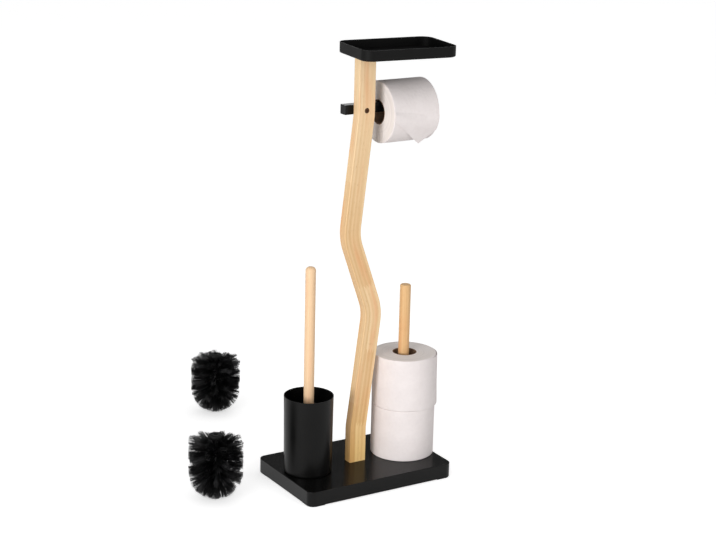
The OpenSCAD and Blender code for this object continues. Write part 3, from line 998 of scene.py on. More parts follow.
@dataclass
class Post:
    """The wavy post: one eased section carried along straight runs and arcs."""

    width: float = 0.033
    depth: float = 0.019
    edge: float = 0.0015
    foot_z: float = 0.028
    corners: tuple[tuple[float, float], ...] = (
        (0, 0), (0, 0.066), (0.028, 0.285), (-0.0225, 0.426), (0.0023, 0.643), (0.0023, 0.746),
    )
    radii: tuple[float, ...] = (0, 0.06, 0.09, 0.09, 0.06, 0)
    bolt: Spot = (0.0023, -0.0095, 0.68)
    recess: tuple[float, float] = (0.005, 0.004)
    tool_stands_out: float = 0.002
    spacing: float = 0.004
    guard: float = 0.0004
    crease_deg: float = 25.0

    def centreline(self) -> tuple[np.ndarray, np.ndarray, np.ndarray]:
        """Samples the centreline.

        Each arc starts radius * tan(turn / 2) before its corner and touches both runs.

        Returns:
            Places (n, 2) as x and z, headings (n,) in radians and lengths (n,) from the foot.
        """
        spots = np.array(self.corners, float)
        steps = np.diff(spots, axis=0)
        headings = np.arctan2(steps[:, 1], steps[:, 0])
        places, ways = [], []
        cursor = spots[0]
        for i in range(1, len(spots)):
            heading = headings[i - 1]
            ahead = np.array([math.cos(heading), math.sin(heading)])
            last = i == len(spots) - 1
            turn = 0.0 if last else headings[i] - heading
            end = spots[i] - ahead * self.radii[i] * math.tan(abs(turn) / 2)
            parts = math.ceil(np.linalg.norm(end - cursor) / self.spacing)
            share = np.linspace(0, 1, parts, endpoint=last)[:, None]
            places.append(cursor + (end - cursor) * share)
            ways.append(np.full(parts, heading))
            if last:
                break
            bend = math.copysign(self.radii[i], turn)
            centre = end + bend * np.array([-math.sin(heading), math.cos(heading)])
            parts = math.ceil(self.radii[i] * abs(turn) / self.spacing)
            a = heading + turn * np.linspace(0, 1, parts, endpoint=False)
            places.append(centre - bend * np.stack([-np.sin(a), np.cos(a)], -1))
            ways.append(a)
            cursor = centre - bend * np.array([-math.sin(headings[i]), math.cos(headings[i])])
        line = np.concatenate(places)
        lengths = np.concatenate([[0], np.cumsum(np.linalg.norm(np.diff(line, axis=0), axis=1))])
        return line + np.array([0, self.foot_z]), np.concatenate(ways), lengths

    def section(self) -> np.ndarray:
        """Outline of the section, with a narrow flat beside each eased edge.

        The flats keep the shading of the wide faces level.

        Returns:
            Outline points of shape (n, 2).
        """
        w, d = self.width / 2, self.depth / 2
        outline = rounded_outline([(*c, self.edge) for c in ((w, -d), (w, d), (-w, d), (-w, -d))])
        found = []
        for a, b in zip(outline, np.roll(outline, -1, axis=0)):
            found.append(a)
            length = np.linalg.norm(b - a)
            if length > 4 * self.guard:
                step = (b - a) * self.guard / length
                found += [a + step, b - step]
        return np.stack(found)

    def cut_recess(self, post: Piece) -> None:
        """Cuts the round recess of the bolt into the front face.

        Args:
            post: The post's object, whose mesh is replaced.
        """
        radius, depth = self.recess
        outline = np.array([[radius, -self.tool_stands_out], [radius, depth]])
        a = np.linspace(0, 2 * math.pi, 48, endpoint=False)
        tool = Surface()
        tool.close_ends(tool.add_grid(turned(outline, a), wrap=(False, True)))
        cutter = tool.to_object("recess_tool", [])
        place = Matrix.Translation(Vector(self.bolt))
        cutter.data.transform(place @ Matrix.Rotation(math.radians(-90), 4, "X"))
        cutter.data.update()
        step = post.modifiers.new("recess", "BOOLEAN")
        step.object, step.operation, step.solver = cutter, "DIFFERENCE", "EXACT"
        bpy.context.view_layer.update()
        graph = bpy.context.evaluated_depsgraph_get()
        made = bpy.data.meshes.new_from_object(post.evaluated_get(graph))
        post.modifiers.clear()
        post.data = made
        bpy.data.objects.remove(cutter)

    def mark_grain(self, post: Piece) -> None:
        """Writes each point's place in the straightened post: across, front to back, along.

        Args:
            post: The finished post.
        """
        line, ways, lengths = self.centreline()
        mesh = post.data
        co = np.zeros(len(mesh.vertices) * 3, np.float32)
        mesh.vertices.foreach_get("co", co)
        co = co.reshape(-1, 3).astype(float)
        flat = co[:, [0, 2]]
        near = np.argmin(((flat[:, None] - line[None]) ** 2).sum(-1), axis=1)
        off = flat - line[near]
        left = np.stack([-np.sin(ways[near]), np.cos(ways[near])], -1)
        ahead = np.stack([np.cos(ways[near]), np.sin(ways[near])], -1)
        along = lengths[near] + (off * ahead).sum(-1)
        grain = np.stack([(off * left).sum(-1), co[:, 1], along], -1)
        layer = mesh.attributes.new("grain", "FLOAT_VECTOR", "POINT")
        layer.data.foreach_set("vector", grain.astype(np.float32).ravel())

    def build(self, finishes: Finishes) -> None:
        """Builds the post.

        The point at the section's (q, y) and the line's place p goes to p + q * left, y.

        Args:
            finishes: The stand's finishes.
        """
        line, ways, _ = self.centreline()
        section = self.section()
        left = np.stack([-np.sin(ways), np.cos(ways)], -1)
        flat = line[:, None] + section[None, :, :1] * left[:, None]
        depth = np.broadcast_to(section[None, :, 1], flat.shape[:2])
        places = np.stack([flat[..., 0], depth, flat[..., 1]], -1)
        made = Surface()
        made.close_ends(made.add_grid(places, wrap=(False, True)))
        post = made.to_object("post_bar", [finishes.post], self.crease_deg)
        self.cut_recess(post)
        face_outwards(post)
        self.mark_grain(post)
        post.data.shade_smooth()
        post.data.set_sharp_from_angle(angle=math.radians(self.crease_deg))
        hand_over(post, "stand", node="post")


@dataclass
class PaperRoll:
    """A toilet roll's wound paper and card tube, worked out upright about the Z axis."""

    name: str
    seed: int
    along: Spot = (0, 0, 1)
    edge: float = 0.0018
    bore_edge: float = 0.0004
    play: float = 0.00005
    dent: float = 0.0004
    ridge: float = 0.00018
    margin: float = 0.003
    spacing: float = 0.004
    columns: int = 192
    wall: float = 0.0013
    tube_edges: tuple[float, float] = (0.0002, 0.0003)
    tube_spacing: float = 0.002
    tube_columns: int = 128
    strip_pitch: float = 0.072
    strip_step: float = 0.00015
    strip_reach: float = 0.0002

    def frame(self) -> tuple[Matrix, float, float, float]:
        """Reads the roll's place and size from its solids.

        Returns:
            Matrix from the upright roll to its place, paper radius, tube radius and width.
        """
        low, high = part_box(f"{self.name}_core")
        axis, size, middle = Vector(self.along), high - low, (low + high) / 2
        upright = axis.z > 0.5
        tube = (max(size.x, size.y) if upright else size.y) / 2
        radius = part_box(f"{self.name}_paper")[1].y - middle.y
        width = size.dot(axis)
        turn = Matrix.Identity(4) if upright else Matrix.Rotation(math.radians(90), 4, "Y")
        place = Matrix.Translation(middle - axis * width / 2) @ turn
        return place, radius, tube, width

    def wobble(self, angles: np.ndarray, heights: np.ndarray) -> np.ndarray:
        """Slow dents of a soft roll, never outwards.

        They are a sum of waves cos(k a + p + 1.7 sin(2.6 h + q)) / k, with random p and q,
        brought to a range from 0 to the deepest dent.

        Args:
            angles: Angles round the roll.
            heights: Heights as a share of the width.

        Returns:
            Distances to take off the radius.
        """
        rng = np.random.default_rng(self.seed)
        total = np.zeros(np.broadcast(angles, heights).shape)
        for k in (2, 3, 5, 7):
            p, q = rng.uniform(0, 2 * math.pi, 2)
            total += np.cos(k * angles + p + 1.7 * np.sin(2.6 * heights + q)) / k
        return self.dent * (total / 2.4 + 0.5).clip(0, 1)

    def rings(self, angles: np.ndarray, radii: np.ndarray) -> np.ndarray:
        """Layers that stand proud of each other on the ends: a sum of three waves outwards.

        Args:
            angles: Angles round the roll.
            radii: Distances from the axis.

        Returns:
            Heights from -1 to 1.
        """
        rng = np.random.default_rng(self.seed + 40)
        starts, sways = rng.uniform(0, 6, 3), rng.uniform(0, 6, 3)
        total = 0.0
        for pitch, share, p, q in zip((900, 1700, 3100), (0.5, 0.3, 0.2), starts, sways):
            total = total + np.sin(radii * pitch + p + 0.6 * np.sin(angles + q)) * share
        return total

    def paper(self, finishes: Finishes, radius: float, tube: float, width: float) -> Piece:
        """Builds the wound paper as one closed ring.

        The outline runs up the wrap, in over the top, down the bore and out again below.

        Args:
            finishes: The stand's finishes.
            radius: Outer radius.
            tube: Outer radius of the card tube.
            width: Width of the paper.

        Returns:
            The paper, upright.
        """
        bore = tube + self.play
        outer_corners = [(radius, 0, self.edge), (radius, width, self.edge)]
        bore_corners = [(bore, width, self.bore_edge), (bore, 0, self.bore_edge)]
        outline = resample(rounded_outline(outer_corners + bore_corners), self.spacing)
        a = np.linspace(0, 2 * math.pi, self.columns, endpoint=False)
        places = turned(outline, a)
        r, z = outline[:, :1], outline[:, 1:]
        outer = np.clip((r - bore) / (radius - bore), 0, 1)
        dent = self.wobble(a[None], z / width) * outer**2
        flat = np.clip(np.minimum(r - bore, radius - self.edge - r) / self.margin, 0, 1)
        inwards = np.where(z > width / 2, -1.0, 1.0)
        places[..., :2] *= (1 - dent / r)[..., None]
        places[..., 2] += inwards * flat * self.ridge * (1 + self.rings(a[None], r))
        closed = np.concatenate([outline, outline[:1]])
        wrap_from = radius - self.edge * 0.9
        u = np.concatenate([a, [2 * math.pi]])[None] * radius
        v = np.where(closed[:, :1] > wrap_from, closed[:, 1:], closed[:, :1])
        on_wrap = (closed[:-1, 0] + closed[1:, 0]) / 2 > wrap_from
        slots = np.where(on_wrap, Facing.WRAP.value, Facing.EDGES.value)
        made = Surface()
        made.add_grid(places, np.stack(np.broadcast_arrays(u, v), -1), (True, True), slot=slots)
        coats = [finishes.wrap, finishes.edges]
        return made.to_object(f"{self.name}_winding", coats, crease_deg=60.0)

    def tube(self, finishes: Finishes, outer: float, width: float) -> Piece:
        """Builds the card tube, wound from strips.

        The strips' edges climb the wall as a shallow step: the wall is thinner by that step
        on one side of the helix a = 2 pi z / pitch, and grows back over the rest of the turn.

        Args:
            finishes: The stand's finishes.
            outer: Outer radius.
            width: Width of the tube.

        Returns:
            The tube, upright.
        """
        inner = outer - self.wall
        outer_edge, inner_edge = self.tube_edges
        outer_corners = [(outer, 0, outer_edge), (outer, width, outer_edge)]
        inner_corners = [(inner, width, inner_edge), (inner, 0, inner_edge)]
        outline = rounded_outline(outer_corners + inner_corners, 3)
        outline = resample(outline, self.tube_spacing)
        a = np.linspace(0, 2 * math.pi, self.tube_columns, endpoint=False)
        phase = (a[None] / (2 * math.pi) + outline[:, 1:] / self.strip_pitch) % 1.0
        on_inside = outline[:, :1] < inner + self.strip_reach
        step = self.strip_step * (1 - phase) * on_inside
        places = turned(outline, a)
        places[..., :2] *= (1 + step / outline[:, :1])[..., None]
        made = Surface()
        made.add_grid(places, wrap=(True, True))
        return made.to_object(f"{self.name}_tube", [finishes.card], crease_deg=60.0)

    def build(self, finishes: Finishes) -> tuple[Matrix, float, float]:
        """Builds the paper and the tube.

        Args:
            finishes: The stand's finishes.

        Returns:
            The roll's place, its radius and its width, for what hangs from it.
        """
        place, radius, tube, width = self.frame()
        paper = self.paper(finishes, radius, tube, width)
        hand_over(paper, self.name, place, f"{self.name}_paper")
        card = self.tube(finishes, tube, width)
        hand_over(card, self.name, place, f"{self.name}_core")
        return place, radius, width


def thin_sheet(middle: np.ndarray, thickness: float, coords: np.ndarray) -> Surface:
    """Gives a curved sheet its thickness, as one closed shell.

    Both faces lie half the thickness from the middle along the surface's own normal,
    which is the cross product of the grid's two directions, and a rim joins them.

    Args:
        middle: Places of the sheet's middle, of shape (rows, columns, 3).
        thickness: Thickness of the sheet.
        coords: Face coordinates of shape (rows, columns, 2).

    Returns:
        The closed surface.
    """
    along = np.gradient(middle, axis=0)
    across = np.gradient(middle, axis=1)
    normal = unit(np.cross(along, across))
    made = Surface()
    front = made.add_grid(middle + normal * thickness / 2, coords)
    back = made.add_grid(middle - normal * thickness / 2, coords, side=Side.TURNED)

    def rim(grid: np.ndarray) -> np.ndarray:
        """Numbers round the border, in one turn."""
        return np.concatenate([grid[0, :-1], grid[:-1, -1], grid[-1, :0:-1], grid[:0:-1, 0]])

    a, b = rim(front), rim(back)
    made.add_faces(np.stack([a, b, np.roll(b, -1), np.roll(a, -1)], -1))
    return made


@dataclass
class LooseSheet:
    """The outermost sheet of the upper stored roll, which stands off on its right."""

    start_deg: float = -95.0
    end_deg: float = 5.0
    bunched: float = 0.35
    lift: tuple[float, float] = (0.0046, 0.0020)
    corner: float = 0.026
    top_corner: float = 0.004
    below_top: float = 0.0022
    facing_deg: float = -32.0
    buried: float = 0.0003
    wave: float = 0.0005
    thickness: float = 0.0007
    rows: int = 72
    columns: int = 40

    def build(self, finishes: Finishes, place: Matrix, radius: float, width: float) -> None:
        """Builds the sheet.

        Along its length the sheet eases off the roll, less at its top than at its foot. Its
        lower edge is level up to its round corner, which is a quarter circle as seen from
        the sheet's own side.

        Args:
            finishes: The stand's finishes.
            place: Place of the roll.
            radius: Radius of the roll.
            width: Width of the roll.
        """
        share = np.linspace(0, 1, self.rows)[:, None]
        u = (1 - np.cos(share * math.pi / 2)) * self.bunched + share * (1 - self.bunched)
        v = np.linspace(0, 1, self.columns)[None]
        a = np.radians(self.start_deg + (self.end_deg - self.start_deg) * u)
        rise = eased(u)
        reach = (radius + self.lift[0] * rise) * np.sin(a - math.radians(self.facing_deg))
        edge = float(reach[-1, 0])
        low = quarter_round(reach, edge, self.corner)
        high = width - self.below_top - quarter_round(reach, edge, self.top_corner)
        z = low + (high - low) * v
        lift = self.lift[0] + (self.lift[1] - self.lift[0]) * v
        wave = self.wave * u**2 * np.sin(7.5 * v + 2.0 * u)
        r = radius - self.buried + (lift + self.buried) * rise + wave
        middle = np.stack([r * np.cos(a), r * np.sin(a), z], -1)
        coords = np.stack([np.broadcast_to(a * radius, z.shape), z], -1)
        sheet = thin_sheet(middle, self.thickness, coords)
        piece = sheet.to_object("upper_roll_loose_sheet", [finishes.wrap], crease_deg=50.0)
        piece.data.transform(place)
        face_outwards(piece)
        hand_over(piece, "upper_roll")


@dataclass
class FoldedSheet:
    """The last sheet of the roll on the arm, folded to a point that hangs from its front."""

    wrap_deg: float = 12.0
    leave_deg: float = 28.0
    hang: float = 0.0335
    near_drop: float = 0.008
    far_drop: float = 0.030
    tip_share: float = 0.68
    stand_off: tuple[float, float] = (-0.0016, 0.0012)
    stand_share: float = 0.45
    sag: float = 0.0012
    inset: float = 0.0008
    thickness: float = 0.0014
    rows: int = 60
    columns: int = 48

    def curve(self, radius: float, drop: np.ndarray) -> tuple[np.ndarray, np.ndarray]:
        """Section of the sheet at a depth below the roll's middle.

        Down to the leaving angle the sheet lies on the roll, at (R cos a, -R sin a) with
        sin a = drop / R. From there it goes on straight along the tangent.

        Args:
            radius: Radius that the sheet lies on.
            drop: Depths below the roll's middle.

        Returns:
            How far the sheet stands in front of the axis at each depth, and its own length.
        """
        leave = math.radians(self.leave_deg)
        turn_drop = radius * math.sin(leave)
        angle = np.arcsin(np.clip(drop / radius, -1, math.sin(leave)))
        straight = np.clip(drop - turn_drop, 0, None)
        front = radius * np.cos(angle) - straight * math.tan(leave)
        return front, radius * angle + straight / math.cos(leave)

    def build(self, finishes: Finishes, place: Matrix, radius: float, width: float) -> None:
        """Builds the sheet, as thick as it is where its lower corners are folded in.

        Along the roll, at x, the sheet reaches down to the line from its near end to the
        tip and from there up to its far end. Its top edge runs in under the paper, and
        further down it stands a little off the roll.

        Args:
            finishes: The stand's finishes.
            place: Place of the roll, whose upright +X is down and -Y is the front.
            radius: Radius of the roll.
            width: Width of the roll.
        """
        leave = math.radians(self.leave_deg)
        tip = radius * math.sin(leave) + self.hang * math.cos(leave)
        x = np.linspace(0, 1, self.columns)[None]
        share = self.tip_share
        bottom = np.where(
            x < share,
            self.near_drop + (tip - self.near_drop) * x / share,
            tip + (self.far_drop - tip) * (x - share) / (1 - share),
        )
        top = -radius * math.sin(math.radians(self.wrap_deg))
        v = np.linspace(0, 1, self.rows)[:, None]
        drop = top + (bottom - top) * v
        start, end = self.stand_off
        stand = start + (end - start) * eased(np.clip(v / self.stand_share, 0, 1))
        front, length = self.curve(radius, drop)
        hanging = np.clip((drop - radius * math.sin(leave)) / self.hang, 0, 1)
        front = front + stand + self.sag * hanging * np.sin(3.0 * x + 0.6)
        z = self.inset + (width - 2 * self.inset) * x * np.ones_like(drop)
        middle = np.stack([drop, -front, z], -1)
        sheet = thin_sheet(middle, self.thickness, np.stack([length, z], -1))
        piece = sheet.to_object("arm_roll_folded_sheet", [finishes.wrap], crease_deg=50.0)
        piece.data.transform(place)
        face_outwards(piece)
        hand_over(piece, "arm_roll")


@dataclass
class BrushHead:
    """One brush head's filaments and the stem that they are set in."""

    name: str
    body: str
    seed: int
    press: float = 1.0
    reach: float = 0.0500
    square: float = 0.0487
    stem: float = 0.008
    head_h: float = 0.121
    stem_h: float = 0.106
    shoulder: float = 0.112
    crest: float = 0.1185
    dome: tuple[tuple[float, int], ...] = (
        (7, 4), (20, 9), (33, 13), (46, 16), (59, 17), (72, 16), (84, 15),
    )
    rows: int = 10
    columns: int = 14
    wall_ends: tuple[float, float] = (0.002, 0.010)
    wall_lean_deg: float = 23.0
    crown: tuple[tuple[float, int], ...] = ((28, 14), (38, 13), (50, 12))
    crown_below: float = 0.0075
    crown_step: float = 0.002
    stagger: float = 0.38
    jitter: tuple[float, float] = (0.06, 0.085)
    per_tuft: int = 27
    bunch: float = 0.0016
    sunk: float = 0.001
    fan: tuple[float, float] = (0.045, 0.085)
    stray: float = 0.028
    curl: tuple[float, float] = (0.075, 0.02)
    trim: tuple[float, float] = (0.025, 0.03)
    lid_trim: float = 0.12
    ragged: tuple[float, float] = (-0.003, 0.004)
    spare_length: float = 0.006
    stations: tuple[float, ...] = (0.0, 0.4, 0.75, 1.0)
    taper: tuple[float, ...] = (1.0, 0.95, 0.85, 0.6)
    thick: float = 0.00032
    above_floor: float = 0.0004
    lowest: float = 0.0001
    painted_highlight_spread: float = 0.08
    stem_sides: int = 24

    def tufts(self) -> tuple[np.ndarray, np.ndarray]:
        """Roots and directions of the tufts.

        Rows climb the stem from its round end, each turned against the last. On the round
        end a tuft points away from the end's centre. Along the wall it points level, and
        the crown's rows lean up round the collar.

        Returns:
            Roots (n, 3) and unit directions (n, 3).
        """
        rng = np.random.default_rng(self.seed)
        rows = []
        for below, count in self.dome:
            a = math.radians(below)
            height = self.reach - self.stem * math.cos(a)
            rows.append((self.stem * math.sin(a), height, a - math.pi / 2, count))
        low, high = self.wall_ends
        heights = np.linspace(self.reach + low, self.stem_h - high, self.rows)
        for k, z in zip(np.linspace(0, 1, self.rows), heights):
            rows.append((self.stem, z, math.radians(self.wall_lean_deg * k**2), self.columns))
        for k, (up, count) in enumerate(self.crown):
            height = self.stem_h - self.crown_below + self.crown_step * k
            rows.append((self.stem, height, math.radians(up), count))
        roots, ways = [], []
        for i, (r, z, lean, count) in enumerate(rows):
            a = 2 * math.pi * (np.arange(count) + self.stagger * i) / count
            a = a + rng.normal(0, self.jitter[0], count)
            tilt = lean + rng.normal(0, self.jitter[1], count)
            roots.append(np.stack([r * np.cos(a), r * np.sin(a), np.full(count, z)], -1))
            level = np.cos(tilt)
            ways.append(np.stack([np.cos(a) * level, np.sin(a) * level, np.sin(tilt)], -1))
        return np.concatenate(roots), np.concatenate(ways)

    def cut(
        self,
        start: np.ndarray,
        aim: np.ndarray,
        bend: np.ndarray,
        trim: np.ndarray,
        lid: np.ndarray,
    ) -> np.ndarray:
        """Where the head's outline cuts the filaments.

        The outline is a half ball below, a straight wall above it, and over the shoulder a
        low ring-shaped crest about the collar.

        Args:
            start: Roots of the filaments.
            aim: Their unit directions.
            bend: How much they bend.
            trim: Share of the outline that each one reaches.
            lid: How far the crest is raised for each one.

        Returns:
            Share of the full length at which each filament ends.
        """
        full = self.reach - self.stem + self.spare_length
        s = np.linspace(0.3, 1.0, 57)[None]
        ways = ((start[:, k, None], aim[:, k, None], bend[:, k, None]) for k in range(3))
        x, y, z = (root + full * (s * way + s * s * off) for root, way, off in ways)
        out = np.hypot(x, y) / self.reach
        low = np.hypot(out, np.maximum(self.reach - z, 0) / self.reach)
        crest = self.shoulder + (self.crest - self.shoulder) * (1 - np.abs(2 * out - 1))
        crest = crest + lid[:, None] - self.lid_trim * (1 - trim[:, None])
        inside = (low < trim[:, None]) & (z < crest)
        share = s[0, np.maximum(np.argmin(inside, axis=1) - 1, 0)]
        return np.where(inside.all(axis=1), 1.0, share)

    def filaments(self) -> tuple[np.ndarray, np.ndarray]:
        """Centre points of all filaments.

        A filament starts beside its tuft's root, spreads from the tuft's direction by a
        random slope and bends a little, as p(t) = root + length * (t * way + t * t * bend).
        It ends near the head's outline. Where a cup presses the head, what stands out from
        the stem is brought in by the same share.

        Returns:
            Places of shape (filaments, 4, 3) and each filament's share of painted highlight, from
            0 to 1.
        """

        def each(values: np.ndarray) -> np.ndarray:
            """The values of the tufts, for each of their filaments."""
            return np.repeat(values, self.per_tuft, axis=0)

        rng = np.random.default_rng(self.seed + 1)
        roots, ways = self.tufts()
        tufts, n = len(roots), len(roots) * self.per_tuft
        root, way = each(roots), each(ways)
        side = unit(np.cross(way, np.array([0.0, 0.0, 1.0])))
        rise = np.cross(side, way)
        disc, turn = np.sqrt(rng.uniform(0, 1, n)), rng.uniform(0, 2 * math.pi, n)
        aside, above = disc * np.cos(turn), disc * np.sin(turn)
        start = root + self.bunch * (side * aside[:, None] + rise * above[:, None])
        start = start - way * self.sunk
        fan = each(rng.uniform(*self.fan, tufts))
        slope = side * (rng.normal(0, self.stray, n) + aside * fan)[:, None]
        slope += rise * (rng.normal(0, self.stray, n) + above * fan)[:, None]
        aim = unit(way + slope)
        curl = each(rng.normal(0, self.curl[0], (tufts, 2))) + rng.normal(0, self.curl[1], (n, 2))
        bend = side * curl[:, :1] + rise * curl[:, 1:]
        trim = 1 - each(rng.uniform(0, self.trim[0], tufts)) - rng.uniform(0, self.trim[1], n)
        lid = each(rng.uniform(*self.ragged, tufts))
        share = self.cut(start, aim, bend, trim, lid)[:, None, None]
        t = np.array(self.stations)[None, :, None] * share
        full = self.reach - self.stem + self.spare_length
        line = start[:, None] + full * (t * aim[:, None] + t**2 * bend[:, None])
        line[..., 2] = np.maximum(line[..., 2], self.above_floor)
        line[..., :2] = np.clip(line[..., :2], -self.square, self.square)
        r = np.hypot(line[..., 0], line[..., 1])
        pressed = self.stem + (r - self.stem) * self.press
        line[..., :2] *= np.where(r > self.stem, pressed / np.maximum(r, 1e-9), 1.0)[..., None]
        # Each tuft's random share of painted highlight, a little different for each filament.
        shade = each(rng.uniform(0, 1, tufts)) + rng.normal(0, self.painted_highlight_spread, n)
        return line, np.clip(shade, 0, 1)

    def stem_surface(self, made: Surface) -> None:
        """Adds the stem: a straight wall on a half ball, closed at both ends.

        Args:
            made: Surface to add to.
        """
        a = np.linspace(0, 2 * math.pi, self.stem_sides, endpoint=False)
        down = np.linspace(0.12, math.pi / 2, 7)
        ball = np.stack([self.stem * np.sin(down), self.reach - self.stem * np.cos(down)], -1)
        outline = np.concatenate([ball, np.array([[self.stem, self.stem_h]])])
        made.close_ends(made.add_grid(turned(outline, a), wrap=(False, True)))

    def build(self, finishes: Finishes) -> None:
        """Builds the head's filaments as thin three-sided tubes.

        Each tube has a ring of three points at four places along its filament, thinner
        towards its tip, and both of its ends are closed.

        Args:
            finishes: The stand's finishes.
        """
        low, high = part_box(f"{self.name}_core")
        middle = (low + high) / 2
        foot = Vector((middle.x, middle.y, high.z - self.head_h))
        line, shade = self.filaments()
        way = unit(np.gradient(line, axis=1))
        side = unit(np.cross(way, np.array([0.31, 0.17, 0.94])))
        rise = np.cross(way, side)
        a = 2 * math.pi * np.arange(3)[:, None] / 3
        ring = side[:, :, None] * np.cos(a) + rise[:, :, None] * np.sin(a)
        places = line[:, :, None] + ring * self.thick * np.array(self.taper)[:, None, None]
        places[..., 2] = np.maximum(places[..., 2], self.lowest)
        made = Surface()
        count, steps = line.shape[:2]
        number = made.add_points(places) + np.arange(count * steps * 3).reshape(count, steps, 3)
        k = np.arange(3)
        after = (k + 1) % 3
        near, far = number[:, :-1], number[:, 1:]
        quads = np.stack([near[..., k], near[..., after], far[..., after], far[..., k]], -1)
        t = np.linspace(0, 1, steps)
        along = np.stack([t[:-1], t[:-1], t[1:], t[1:]], -1)[None, :, None]
        flat = np.zeros((1, 1, 3, 1))
        # The first face coordinate carries each filament's share of painted highlight.
        coords = np.broadcast_arrays(shade[:, None, None, None], along, flat)[:2]
        made.add_faces(quads.reshape(-1, 4), np.stack(coords, -1).reshape(-1, 4, 2))
        ends = np.stack([shade, np.zeros(count)], -1)[:, None].repeat(3, axis=1)
        made.add_faces(number[:, 0, ::-1], ends)
        made.add_faces(number[:, -1], ends + np.array([0.0, 1.0]))
        self.stem_surface(made)
        piece = made.to_object(f"{self.name}_tufts", [finishes.bristle], crease_deg=70.0)
        place = Matrix.Translation(foot)
        hand_over(piece, self.body, place, f"{self.name}_bristles")


@dataclass
class Hardware:
    """The solids that keep their own shape and only take a finish."""

    finishes: Finishes

    def dress(self, nodes: dict[str, Piece]) -> None:
        """Gives each solid its finish.

        Args:
            nodes: The frame's nodes by name.
        """
        f = self.finishes
        table = {
            "roll_arm": f.coat,
            "brush_cup": f.coat,
            "base_cover": f.base_coat,
            "tray": f.tray_coat,
            "brush_handle": f.stick,
            "storage_dowel": f.dowel,
            "base_board": f.board,
            "base_feet": f.rubber,
            "post": f.post,
            "post_screws": f.steel,
            "dowel_screw": f.steel,
            "tray_screws": f.black_screw,
            "arm_bolt": f.bronze,
            "handle_stud": f.steel,
        }
        for name, node in nodes.items():
            if name.endswith("_core"):
                finish = f.card if "roll" in name else f.plastic
            elif name.endswith("_bristles"):
                finish = f.bristle
            elif name.endswith("_paper"):
                finish = f.wrap
            else:
                finish = table[name]
            node.data.materials.clear()
            node.data.materials.append(finish)
            LOG.info("%s: %s", name, finish.name)


# Stage


@dataclass(frozen=True)
class PhotoCamera:
    """The camera of the photograph."""

    place: Spot = (-1.6197, -2.6169, 1.2875)
    yaw: float = 0.55342
    pitch: float = -0.28357
    roll: float = 0.02364
    focal_px: float = 1801.4
    width_px: float = 716.0
    sensor_mm: float = 36.0
    sees_to: float = 60.0

    def build(self) -> None:
        """Makes the camera: it looks along yaw and pitch and leans by roll."""
        level_x, level_y = math.sin(self.yaw), math.cos(self.yaw)
        flat = math.cos(self.pitch)
        ahead = Vector((level_x * flat, level_y * flat, math.sin(self.pitch)))
        level = Vector((math.cos(self.yaw), -math.sin(self.yaw), 0))
        above = level.cross(ahead)
        right = level * math.cos(self.roll) + above * math.sin(self.roll)
        up = -level * math.sin(self.roll) + above * math.cos(self.roll)
        lens = bpy.data.cameras.new("photo_camera")
        lens.sensor_fit = "HORIZONTAL"
        lens.sensor_width = self.sensor_mm
        lens.lens = self.focal_px / self.width_px * self.sensor_mm
        lens.clip_end = self.sees_to
        camera = bpy.data.objects.new("photo_camera", lens)
        bpy.context.scene.collection.objects.link(camera)
        turn = Matrix((right, up, -ahead)).transposed().to_4x4()
        camera.matrix_world = Matrix.Translation(Vector(self.place)) @ turn
        bpy.context.scene.camera = camera


@dataclass(frozen=True)
class Lamp:
    """A soft lamp that looks at a spot."""

    name: str
    place: Spot
    aim: Spot
    size: tuple[float, float]
    power: float
    spread_deg: float = 180.0

    def build(self) -> None:
        """Makes the lamp."""
        light = bpy.data.lights.new(self.name, "AREA")
        light.shape = "RECTANGLE"
        light.size, light.size_y = self.size
        light.energy = self.power
        light.spread = math.radians(self.spread_deg)
        lamp = bpy.data.objects.new(self.name, light)
        bpy.context.scene.collection.objects.link(lamp)
        lamp.location = Vector(self.place)
        ahead = Vector(self.aim) - Vector(self.place)
        lamp.rotation_euler = ahead.to_track_quat("-Z", "Y").to_euler()


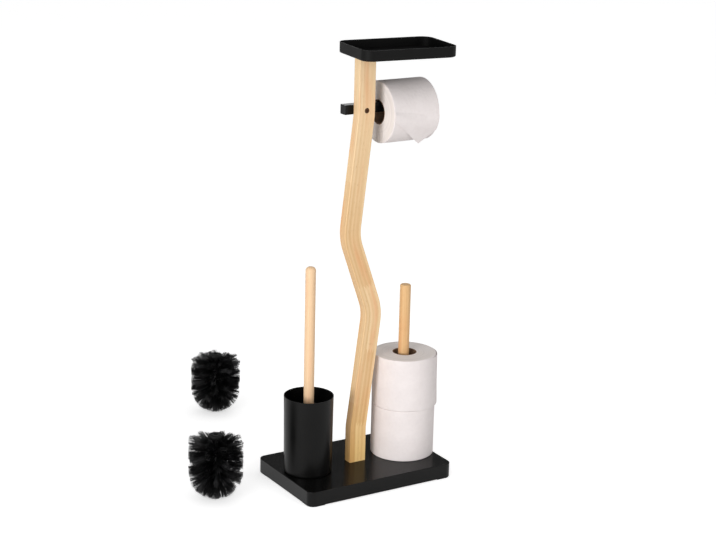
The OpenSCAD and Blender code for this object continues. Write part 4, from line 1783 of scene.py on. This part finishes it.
@dataclass(frozen=True)
class Studio:
    """A plain pale floor under soft light."""

    floor_size: float = 400.0
    floor_colour: Colour = (0.80, 0.80, 0.80)
    glow: float = 0.58
    front: float = 0.65
    back: float = 0.12
    above: float = 0.95
    horizon: float = 1.3
    back_to_front: tuple[float, float] = (0.45, -0.6)
    upwards: tuple[float, float] = (0.45, 0.95)
    horizon_band: tuple[float, float] = (0.11, 0.17)
    lamps: tuple[Lamp, ...] = (
        Lamp("left_softbox", (-3.6, -1.8, 0.9), (0.0, 0.0, 0.70), (2.2, 1.6), 31.0, 90.0),
        Lamp("front_softbox", (1.3, -3.2, 1.1), (0.0, 0.0, 0.4), (1.3, 1.3), 19.0),
        Lamp("back_strip", (0.58, 1.0, 0.955), (0.0, 0.0, 0.70), (0.8, 0.15), 1.2),
    )

    def build(self) -> None:
        """Makes the floor, the world and the lamps."""
        sides = np.array([-0.5, 0.5]) * self.floor_size
        y, x = np.meshgrid(sides, sides, indexing="ij")
        made = Surface()
        made.add_grid(np.stack([x, y, np.zeros_like(x)], -1), side=Side.TURNED)
        made.to_object("floor", [self.floor_finish()])
        self.world()
        for lamp in self.lamps:
            lamp.build()
        LOG.info("studio: %d lamps", len(self.lamps))

    def floor_finish(self) -> Material:
        """Makes a matt floor that shows plain white to the eye and keeps its soft shadows.

        Returns:
            The new material.
        """
        n = MaterialNodes("pale_floor")
        n.set(Base_Color=self.floor_colour, Roughness=0.9, Specular_IOR_Level=0.1)
        strength = n.calc("MULTIPLY", n.seen(), self.glow)
        glow = n.add("Emission", Color=(1.0, 1.0, 1.0), Strength=strength)
        both = n.add("AddShader")
        n.put(both.inputs[0], n.shader.outputs["BSDF"])
        n.put(both.inputs[1], glow.outputs["Emission"])
        n.put(n.output.inputs["Surface"], both.outputs["Shader"])
        return n.material

    def world(self) -> None:
        """Soft light from all round: bright in front and above, dim behind, white low down.

        The strength goes from back to front with the direction's Y, and from there to the
        strength above with its Z. Just over the floor it shows the same white as the floor.
        """
        world = bpy.data.worlds.new("studio")
        bpy.context.scene.world = world
        world.use_nodes = True
        n = Nodes(world.node_tree)
        way = n.add("SeparateXYZ", Vector=n.add("TexCoord").outputs["Generated"]).outputs
        level = n.between(way["Y"], *self.back_to_front, self.back, self.front)
        strength = n.blend(n.between(way["Z"], *self.upwards), level, self.above, "FLOAT")
        band = n.between(way["Z"], *self.horizon_band, 1.0, 0.0)
        shown = n.calc("MULTIPLY", band, n.seen())
        strength = n.blend(shown, strength, self.horizon, "FLOAT")
        background = n.add("Background", Strength=strength)
        n.put(n.add("OutputWorld").inputs["Surface"], background.outputs["Background"])


def main() -> None:
    """Builds the camera, the studio and every piece of the stand, in order."""
    logging.basicConfig(level=logging.INFO, format="%(name)s: %(message)s")
    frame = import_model()
    PhotoCamera().build()
    Studio().build()
    bpy.context.scene.view_settings.view_transform = "Standard"
    finishes = Finishes()
    Hardware(finishes).dress(frame["nodes"])
    Post().build(finishes)
    PaperRoll("lower_roll", seed=3).build(finishes)
    upper = PaperRoll("upper_roll", seed=8).build(finishes)
    LooseSheet().build(finishes, *upper)
    on_arm = PaperRoll("arm_roll", seed=5, along=(1, 0, 0)).build(finishes)
    FoldedSheet().build(finishes, *on_arm)
    BrushHead("brush_head", "brush", seed=11, press=0.738).build(finishes)
    BrushHead("spare_head_1", "spare_head_1", seed=23).build(finishes)
    BrushHead("spare_head_2", "spare_head_2", seed=37).build(finishes)


if __name__ == "__main__":
    main()
